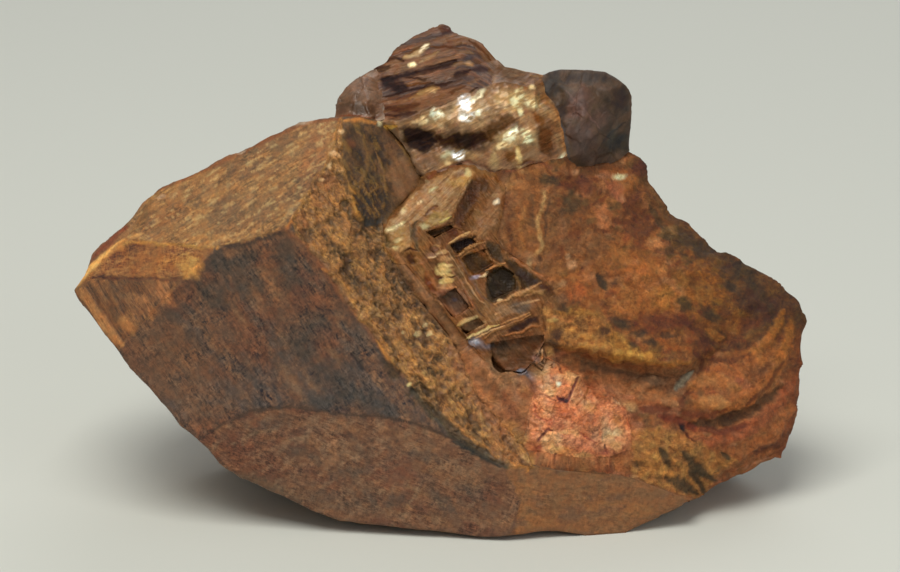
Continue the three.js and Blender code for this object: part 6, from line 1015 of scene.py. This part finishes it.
def fill_cells(v):
    """the glassy mineral stands nearer to the tops of the plates round each cell"""
    x, y, w = to_face(v)
    gx, gy = ((x - x.min()) / 3).astype(int), ((y - y.min()) / 3).astype(int)
    top = np.full((gx.max() + 1, gy.max() + 1), -99.0)
    np.maximum.at(top, (gx, gy), w)
    for _ in range(4):
        q = np.pad(top, 1, mode="edge")
        top = np.max([q[i:i + top.shape[0], j:j + top.shape[1]] for i in range(3) for j in range(3)], 0)
    for _ in range(4):
        q = np.pad(top, 1, mode="edge")
        top = np.mean([q[i:i + top.shape[0], j:j + top.shape[1]] for i in range(3) for j in range(3)], 0)
    near = np.min([area(c[0], x, y) for c in CELLS], 0)
    d = top[gx, gy] - w
    up = np.maximum(d - 0.35, 0) * 0.62 * smooth(3.2, 0.8, near) * (d < 4)
    return v + OUT * up[:, None]

def build(node):
    v, t = CAD[node]
    fine, coarse = SIZE[node]
    facing = face_normals(v, t) @ OUT
    _, dist = neighbours(node, v[t].mean(1), 0.7)
    longest = np.where(facing > 0.1, fine, np.where(dist < 0.69, 1.6, coarse))
    if node == "columbite_crystal":  # finer where the surface is rough
        cx, cy, _ = to_face(v[t].mean(1))
        rough = np.minimum(area(CRYSTAL_F, cx, cy), area(CRYSTAL_G, cx, cy)) < 4
        longest[rough & (facing > 0.1)] = 0.225 * fine / SIZE[node][0]
    if node == "matrix_rock":  # and on the slopes round the plates
        cx, cy, cw = to_face(v[t].mean(1))
        slope = (facing <= 0.1) & (facing > -0.6) & (area(LADDER, cx, cy) < 9) & (cw > -8)
        longest[slope] = 0.4 * fine / SIZE[node][0]
    v, t, parent = refine(v, t, longest)
    n = normals(v, t)
    fw = smooth(0.05, 0.3, n @ OUT)
    low = v[:, 2] < 0.02
    near, dist = neighbours(node, v, 0.9)
    close = smooth(0.8, 0.3, dist)
    rf, rb = ROUND[node]
    # corners wear round, but not where minerals touch: there the clearance between the solids is closed, because they grew
    # into each other
    amount = np.array([np.where(fw > 0.5, 0.5 * (k < rf), 0.6 * (k < rb)) * ~low * (1 - close) for k in range(max(rf, rb, 1))])
    v = soften(v, t, amount)
    _, dist = neighbours(node, v, 1.2)
    v = v + closing(node, v)
    x, y, w = to_face(v)
    if node == "matrix_rock":  # the slope left of the ladder is worn smooth
        k = 0.5 * smooth(10, 6, line(BAND, x, y, 16)[0]) * (w > -8)
        v = soften(v, t, np.array([k] * 8))
        x, y, w = to_face(v)
    for cx, cy, r, across, up, out in PUSH.get(node, ()):
        k = np.exp(-((x - cx) ** 2 + (y - cy) ** 2) / r ** 2)[:, None] * (w > -12)[:, None]
        v = v + k * (RIGHT * across + UP * up + OUT * out)
    if node == "columbite_ladder":
        v = fill_cells(v)
    n = normals(v, t)
    fw = smooth(0.02, 0.25, n @ OUT)
    x, y, w = to_face(v)
    if node == "matrix_rock":
        fw = np.maximum(fw, smooth(11, 6, area(LADDER, x, y)) * smooth(-9, -6, w) * (n @ OUT > -0.5))
    back = sides(node, v, n)
    back.tint *= SHADE[node]; back.dark *= SHADE[node]
    f = np.nonzero(fw > 0.003)[0]
    s = front(x[f], y[f], np.stack([n[f] @ RIGHT, n[f] @ UP, n[f] @ OUT], 1), node)
    m = fw[f]
    for name in ("gloss", "metal", "net", "depth", "rise"):
        a, b = getattr(back, name), getattr(s, name)
        a[f] += (b - a[f]) * m
    for name in ("tint", "dark"):
        a, b = getattr(back, name), getattr(s, name)
        a[f] += (b - a[f]) * m[:, None]
    back.flow[f[m > 0.5]] = s.flow[m > 0.5]
    back.tint = np.maximum(back.tint * 1.12 - 0.016, 0.005); back.dark = np.maximum(back.dark * 1.12 - 0.016, 0.004)
    lift = smooth(0.0, 1.2, v[:, 2])
    inner = (dist < 0.5) & (fw < 0.3)
    move = np.where(inner, 0, back.rise * lift * np.where(fw > 0.3, 1 - 0.5 * smooth(0.6, 0.2, dist), 1))
    way = np.where(fw[:, None] > 0.5, OUT, n) if node == "mica_book" else n
    v = v + way * move[:, None]
    v[:, 2] = np.maximum(v[:, 2], 0)
    print(node, len(v), "points", len(t), "triangles", "relief", move.min().round(2), move.max().round(2))
    ob = to_object("visual_" + node, v, t, {"Tint": np.clip(back.tint, 0, 1), "Dark": np.clip(back.dark, 0, 1), "Gloss": back.gloss, "Metal": back.metal,
                                            "Net": back.net, "Depth": back.depth, "Flow": back.flow})
    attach(ob, "root"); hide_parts(node)
    return ob

def sides(node, v, n):
    """the surface values of the sides and back"""
    X, Y, Z = v.T
    n1 = fbm(X / 1.1, Y / 1.1, Z / 1.1, 4, 61); n2 = fbm(X / 5, Y / 5, Z / 5, 4, 62)
    every = np.arange(len(v))
    def part(a, b, q):
        return every, smooth(a, b, q)
    if node == "columbite_crystal":
        # growth faces: fine grooves along the out direction, patches of rust over dark mineral
        c = Coat(len(v), (132, 98, 64), (84, 64, 46))
        a, b, o = v @ RIGHT, v @ UP, v @ OUT
        groove = fbm(a / 0.55, b / 0.55, o / 9, 3, 64)
        c.lay(part(0.0, 0.5, n1 + 0.6 * n2), (156, 112, 68), (106, 78, 50))
        c.lay(part(0.05, 0.5, -n2 + 0.3 * groove), (98, 78, 62), (60, 54, 48), amount=0.8)
        c.lay(part(0.2, 0.6, fbm(X / 3.4, Y / 3.4, Z / 3.4, 4, 65)), (132, 78, 50), (90, 56, 38), amount=0.7)
        c.gloss[:] = 0.4; c.depth[:] = 0.7; c.rise[:] = 0.10 * groove + 0.06 * n1 + 0.22 * n2
        c.flow[:] = np.stack([a / 0.22, b / 0.22, o / 1.1], 1)
        return c
    if node == "matrix_rock":
        c = Coat(len(v), (148, 94, 58), (104, 66, 42))
        c.lay(part(0.0, 0.55, n1), (176, 120, 74), (128, 84, 52))
        c.lay(part(0.05, 0.5, -n2), (108, 70, 46), (76, 50, 36))
        c.lay(part(0.2, 0.5, fbm(X / 3.5, Y / 3.5, Z / 3.5, 4, 66)), (84, 70, 46), (58, 50, 34), amount=0.85)
        c.lay(part(0.25, 0.55, fbm(X / 4.5, Y / 4.5, Z / 4.5, 4, 67)), (190, 132, 96), (150, 98, 70), amount=0.7)
        c.gloss[:] = 0.22; c.depth[:] = 0.8; c.net[:] = 0.2; c.rise[:] = rock_noise(v)
        c.flow[:] = v / 0.55
        return c
    if node == "mica_book":
        c = Coat(len(v), (136, 108, 82), (92, 72, 54))
        d = v @ np.array([0.26, 0.3, 0.92])
        layer = noise(d / 0.22, X / 9, Y / 9, 67)
        c.lay(part(0.1, 0.7, layer + 0.4 * n1), (184, 158, 122), (150, 124, 94))
        c.lay(part(0.1, 0.7, -layer), (66, 52, 40), (48, 38, 30))
        c.gloss[:] = 0.38; c.metal[:] = 0.04; c.rise[:] = 0.14 * layer + 0.1 * n2; c.flow[:] = np.stack([X / 1.6, Y / 1.6, d / 0.16], 1)
        return c
    if node == "quartz_smoky":
        c = Coat(len(v), (92, 82, 78), (68, 60, 58)); c.lay(part(0, 0.5, n2), (70, 62, 58))
        c.gloss[:] = 0.8; c.depth[:] = 0.3; c.rise[:] = 0.10 * n2
    elif node == "quartz_pale":
        c = Coat(len(v), (144, 130, 114), (112, 98, 86)); c.lay(part(0, 0.5, n2), (112, 98, 84))
        c.gloss[:] = 0.6; c.rise[:] = 0.10 * n2
    elif node == "feldspar_pink":
        c = Coat(len(v), (204, 122, 90), (166, 92, 66)); c.lay(part(0, 0.5, n2), (170, 96, 68)); c.gloss[:] = 0.45
    else:
        c = Coat(len(v), (140, 100, 66), (104, 74, 50)); c.lay(part(0, 0.5, n2), (96, 68, 46)); c.gloss[:] = 0.45; c.depth[:] = 0.3
        # the walls of the cells go down into dark glassy mineral
        c.lay((every, smooth(-0.15, -0.7, to_face(v)[2] - CELL_RIM(v))), (112, 78, 56), (80, 56, 42), gloss=0.7)
    c.flow[:] = v / 0.5
    return c

def CELL_RIM(v):
    """height of the plates' tops"""
    _, _, w = to_face(v)
    return np.full(len(v), np.percentile(w, 75))

# ------------------------------------------------------------------ materials
def nodes_of(name):
    m = bpy.data.materials.new(name); m.use_nodes = True
    nt = m.node_tree; nt.nodes.clear()
    out = nt.nodes.new("ShaderNodeOutputMaterial"); sh = nt.nodes.new("ShaderNodeBsdfPrincipled")
    nt.links.new(sh.outputs[0], out.inputs[0])
    return m, nt, sh

def mineral_material(name, rough=(0.75, 0.3), bump=0.5, grain=0.18, fine=2600.0, warp=0.6, cross=0.0, flecks=0.3, vary=(0.45, 1.15), volume=None, spec=None, **values):
    """light and dark tint mixed by a fine pattern that follows the surface's flow (streaks, or a net of veins where Net is 1),
    broken up by grain in the object's own coordinates; gloss, metal and depth of relief from the surface's own values"""
    m, nt, sh = nodes_of(name)
    N, L = nt.nodes.new, nt.links.new
    def attribute(k):
        a = N("ShaderNodeAttribute"); a.attribute_name = k; return a
    def math(op, a, b=None, c=None, clamp=False):
        q = N("ShaderNodeMath"); q.operation = op; q.use_clamp = clamp
        for i, val in enumerate((a, b, c)):
            if val is None: continue
            if isinstance(val, (int, float)): q.inputs[i].default_value = val
            else: L(val, q.inputs[i])
        return q.outputs[0]
    def mapped(val, a, b, c, d, smooth_step=False):
        q = N("ShaderNodeMapRange"); q.interpolation_type = "SMOOTHSTEP" if smooth_step else "LINEAR"
        for k, z in (("From Min", a), ("From Max", b), ("To Min", c), ("To Max", d)): q.inputs[k].default_value = z
        L(val, q.inputs["Value"]); return q.outputs[0]
    flow, tint, dark = attribute("Flow"), attribute("Tint"), attribute("Dark")
    gl, me, net, depth = [attribute(k).outputs["Fac"] for k in ("Gloss", "Metal", "Net", "Depth")]
    tc = N("ShaderNodeTexCoord")
    # streaks
    st = N("ShaderNodeTexNoise"); st.inputs["Scale"].default_value = 1.0; st.inputs["Detail"].default_value = 5; st.inputs["Roughness"].default_value = 0.68; st.inputs["Distortion"].default_value = 0.5
    L(flow.outputs["Vector"], st.inputs["Vector"])
    streak = mapped(st.outputs["Fac"], 0.38, 0.62, 0, 1)
    if cross:  # a weaker grain across the first
        cv = N("ShaderNodeVectorMath"); cv.operation = "MULTIPLY"; cv.inputs[1].default_value = (3.0, 0.42, 1.0); L(flow.outputs["Vector"], cv.inputs[0])
        cn = N("ShaderNodeTexNoise"); cn.inputs["Scale"].default_value = 1.0; cn.inputs["Detail"].default_value = 5; cn.inputs["Roughness"].default_value = 0.65; cn.inputs["Distortion"].default_value = 0.6
        L(cv.outputs[0], cn.inputs["Vector"])
        streak = math("ADD", math("MULTIPLY", streak, 1 - cross), math("MULTIPLY", mapped(cn.outputs["Fac"], 0.38, 0.62, 0, 1), cross))
    # it shows more in some places than in others
    vn = N("ShaderNodeTexNoise"); vn.inputs["Scale"].default_value = 420.0; vn.inputs["Detail"].default_value = 3
    L(tc.outputs["Object"], vn.inputs["Vector"])
    streak = math("MULTIPLY_ADD", math("SUBTRACT", streak, 0.5), mapped(vn.outputs["Fac"], 0.36, 0.64, vary[0], vary[1]), 0.5, True)
    # net: wrinkles that branch and braid
    def wrinkle(scale, width, detail):
        w = N("ShaderNodeTexNoise"); w.inputs["Scale"].default_value = scale; w.inputs["Detail"].default_value = detail
        w.inputs["Roughness"].default_value = 0.55; w.inputs["Distortion"].default_value = warp
        L(flow.outputs["Vector"], w.inputs["Vector"])
        return mapped(math("ABSOLUTE", math("SUBTRACT", w.outputs["Fac"], 0.5)), 0.0, width, 1, 0, True)
    veins = math("MAXIMUM", wrinkle(0.9, 0.045, 3), math("MULTIPLY", wrinkle(1.9, 0.06, 2), 0.75))
    veins = math("MULTIPLY_ADD", veins, 0.8, math("MULTIPLY", streak, 0.28), True)
    mixv = N("ShaderNodeMix"); mixv.data_type = "FLOAT"; L(net, mixv.inputs["Factor"]); L(streak, mixv.inputs["A"]); L(veins, mixv.inputs["B"])
    pattern = mixv.outputs["Result"]
    col = N("ShaderNodeMix"); col.data_type = "RGBA"; L(pattern, col.inputs["Factor"]); L(dark.outputs["Color"], col.inputs["A"]); L(tint.outputs["Color"], col.inputs["B"])
    # grain
    g1 = N("ShaderNodeTexNoise"); g1.inputs["Scale"].default_value = fine; g1.inputs["Detail"].default_value = 4; g1.inputs["Roughness"].default_value = 0.65
    L(tc.outputs["Object"], g1.inputs["Vector"])
    g2 = N("ShaderNodeTexNoise"); g2.inputs["Scale"].default_value = fine * 0.45; g2.inputs["Detail"].default_value = 2
    L(tc.outputs["Object"], g2.inputs["Vector"])
    sp = N("ShaderNodeVectorMath"); sp.operation = "SCALE"; L(col.outputs["Result"], sp.inputs[0]); 
    g3 = N("ShaderNodeTexNoise"); g3.inputs["Scale"].default_value = fine * 1.25; g3.inputs["Detail"].default_value = 2; g3.inputs["Distortion"].default_value = 0.3
    L(tc.outputs["Object"], g3.inputs["Vector"])
    fleck = math("SUBTRACT", mapped(g3.outputs["Fac"], 0.60, 0.70, 0, flecks, True), mapped(g3.outputs["Fac"], 0.40, 0.31, 0, flecks * 0.9, True))
    L(math("ADD", mapped(g1.outputs["Fac"], 0.34, 0.66, 1 - grain, 1 + grain), fleck), sp.inputs["Scale"])
    hue = N("ShaderNodeMix"); hue.data_type = "RGBA"; hue.blend_type = "MULTIPLY"; hue.inputs["Factor"].default_value = 1.0
    cr = N("ShaderNodeValToRGB"); cr.color_ramp.elements[0].color = (1.07, 0.97, 0.88, 1); cr.color_ramp.elements[1].color = (0.94, 1.01, 1.08, 1)
    cr.color_ramp.elements[0].position = 0.38; cr.color_ramp.elements[1].position = 0.62
    L(g2.outputs["Fac"], cr.inputs[0]); L(sp.outputs[0], hue.inputs["A"]); L(cr.outputs[0], hue.inputs["B"])
    L(hue.outputs["Result"], sh.inputs["Base Color"])
    # gloss: raised, lighter grains are rubbed a little smoother
    shine = math("ADD", gl, math("MULTIPLY", math("SUBTRACT", pattern, 0.5), 0.16), None, True)
    shine = math("ADD", shine, math("MULTIPLY", math("SUBTRACT", g2.outputs["Fac"], 0.5), 0.3), None, True)
    L(mapped(shine, 0, 1, rough[0], rough[1]), sh.inputs["Roughness"])
    L(me, sh.inputs["Metallic"])
    if spec:
        L(mapped(gl, 0.10, 0.36, spec[0], spec[1]), sh.inputs["Specular IOR Level"])
    # relief
    hgt = math("MULTIPLY_ADD", g1.outputs["Fac"], 0.35, pattern)
    b1 = N("ShaderNodeBump"); b1.inputs["Strength"].default_value = bump; b1.inputs["Distance"].default_value = 0.00012
    L(math("MULTIPLY", hgt, depth), b1.inputs["Height"]); L(b1.outputs[0], sh.inputs["Normal"])
    for k, val in values.items():
        sh.inputs[k.replace("_", " ")].default_value = val
    if volume:
        va = N("ShaderNodeVolumeAbsorption"); va.inputs["Color"].default_value = volume[0]; va.inputs["Density"].default_value = volume[1]
        out = [q for q in nt.nodes if q.type == "OUTPUT_MATERIAL"][0]
        L(va.outputs[0], out.inputs["Volume"])
    return m

MATERIALS = {
    "columbite_crystal": ("columbite", dict(rough=(0.78, 0.28), bump=0.55, cross=0.36, flecks=0.26, vary=(0.3, 1.2))),
    "matrix_rock": ("pegmatite_rock", dict(rough=(0.9, 0.35), bump=0.65, grain=0.2, flecks=0.3)),
    "mica_book": ("mica", dict(rough=(0.62, 0.16), bump=0.4, grain=0.12, flecks=0.18, spec=(0.05, 0.6))),
    "quartz_smoky": ("smoky_quartz", dict(rough=(0.78, 0.3), bump=0.45, grain=0.16, flecks=0.18, fine=1900.0, Transmission_Weight=0.4, IOR=1.544, volume=((0.62, 0.52, 0.46, 1), 110.0))),
    "quartz_pale": ("pale_quartz", dict(rough=(0.65, 0.2), bump=0.45, grain=0.14, flecks=0.2)),
    "feldspar_pink": ("pink_feldspar", dict(rough=(0.74, 0.3), bump=0.45, grain=0.2, fine=1900.0, flecks=0.28, vary=(0.7, 1.3))),
    "columbite_ladder": ("ladder_plates", dict(rough=(0.68, 0.10), bump=0.45, grain=0.14, flecks=0.2, Specular_IOR_Level=0.22)),
}
objects = {}
for node in NODES:
    ob = build(node)
    slot, kw = MATERIALS[node]
    ob.data.materials.append(mineral_material(slot, **kw))
    objects[node] = ob

# ------------------------------------------------------------------ floor, light and camera
scene = bpy.context.scene
me = bpy.data.meshes.new("floor")
me.from_pydata([(-3, -3, 0), (3, -3, 0), (3, 3, 0), (-3, 3, 0)], [], [(0, 1, 2, 3)])
floor = bpy.data.objects.new("floor", me); scene.collection.objects.link(floor)
fm, nt, sh = nodes_of("floor")
sh.inputs["Base Color"].default_value = (0.685, 0.71, 0.655, 1); sh.inputs["Roughness"].default_value = 0.85
me.materials.append(fm)

world = bpy.data.worlds.new("studio"); scene.world = world; world.use_nodes = True
bg = world.node_tree.nodes["Background"]; bg.inputs[0].default_value = (0.84, 0.84, 0.83, 1); bg.inputs[1].default_value = 0.29

def area_light(name, place, target, size, power, colour=(1, 1, 1)):
    d = bpy.data.lights.new(name, "AREA"); d.shape = "RECTANGLE"; d.size, d.size_y = size; d.energy = power; d.color = colour
    o = bpy.data.objects.new(name, d); scene.collection.objects.link(o)
    o.location = place
    o.rotation_euler = (Vector(target) - Vector(place)).to_track_quat("-Z", "Y").to_euler()
    return o

area_light("key", tuple(KEY / 1000), (0, 0, 0.02), (0.34, 0.34), 2.3, (1.0, 0.965, 0.90))
area_light("fill", (0.45, -0.45, 0.25), (0, 0, 0.02), (0.4, 0.4), 0.62, (0.97, 0.98, 1.0))
area_light("back", (0.15, 0.5, 0.45), (0, 0, 0.02), (0.5, 0.3), 0.75, (1, 1, 1))

cam_data = bpy.data.cameras.new("camera"); cam = bpy.data.objects.new("camera", cam_data); scene.collection.objects.link(cam)
cam_data.sensor_fit = "HORIZONTAL"; cam_data.sensor_width = 36.0
cam_data.lens = 36.0 * DIST / (900 * STEP)
cam_data.clip_start = 0.01; cam_data.clip_end = 20
cam.location = Vector((MID + OUT * DIST) / 1000)
cam.rotation_euler = (Vector(MID / 1000) - cam.location).to_track_quat("-Z", "Y").to_euler()
scene.camera = cam
scene.view_settings.view_transform = "Standard"
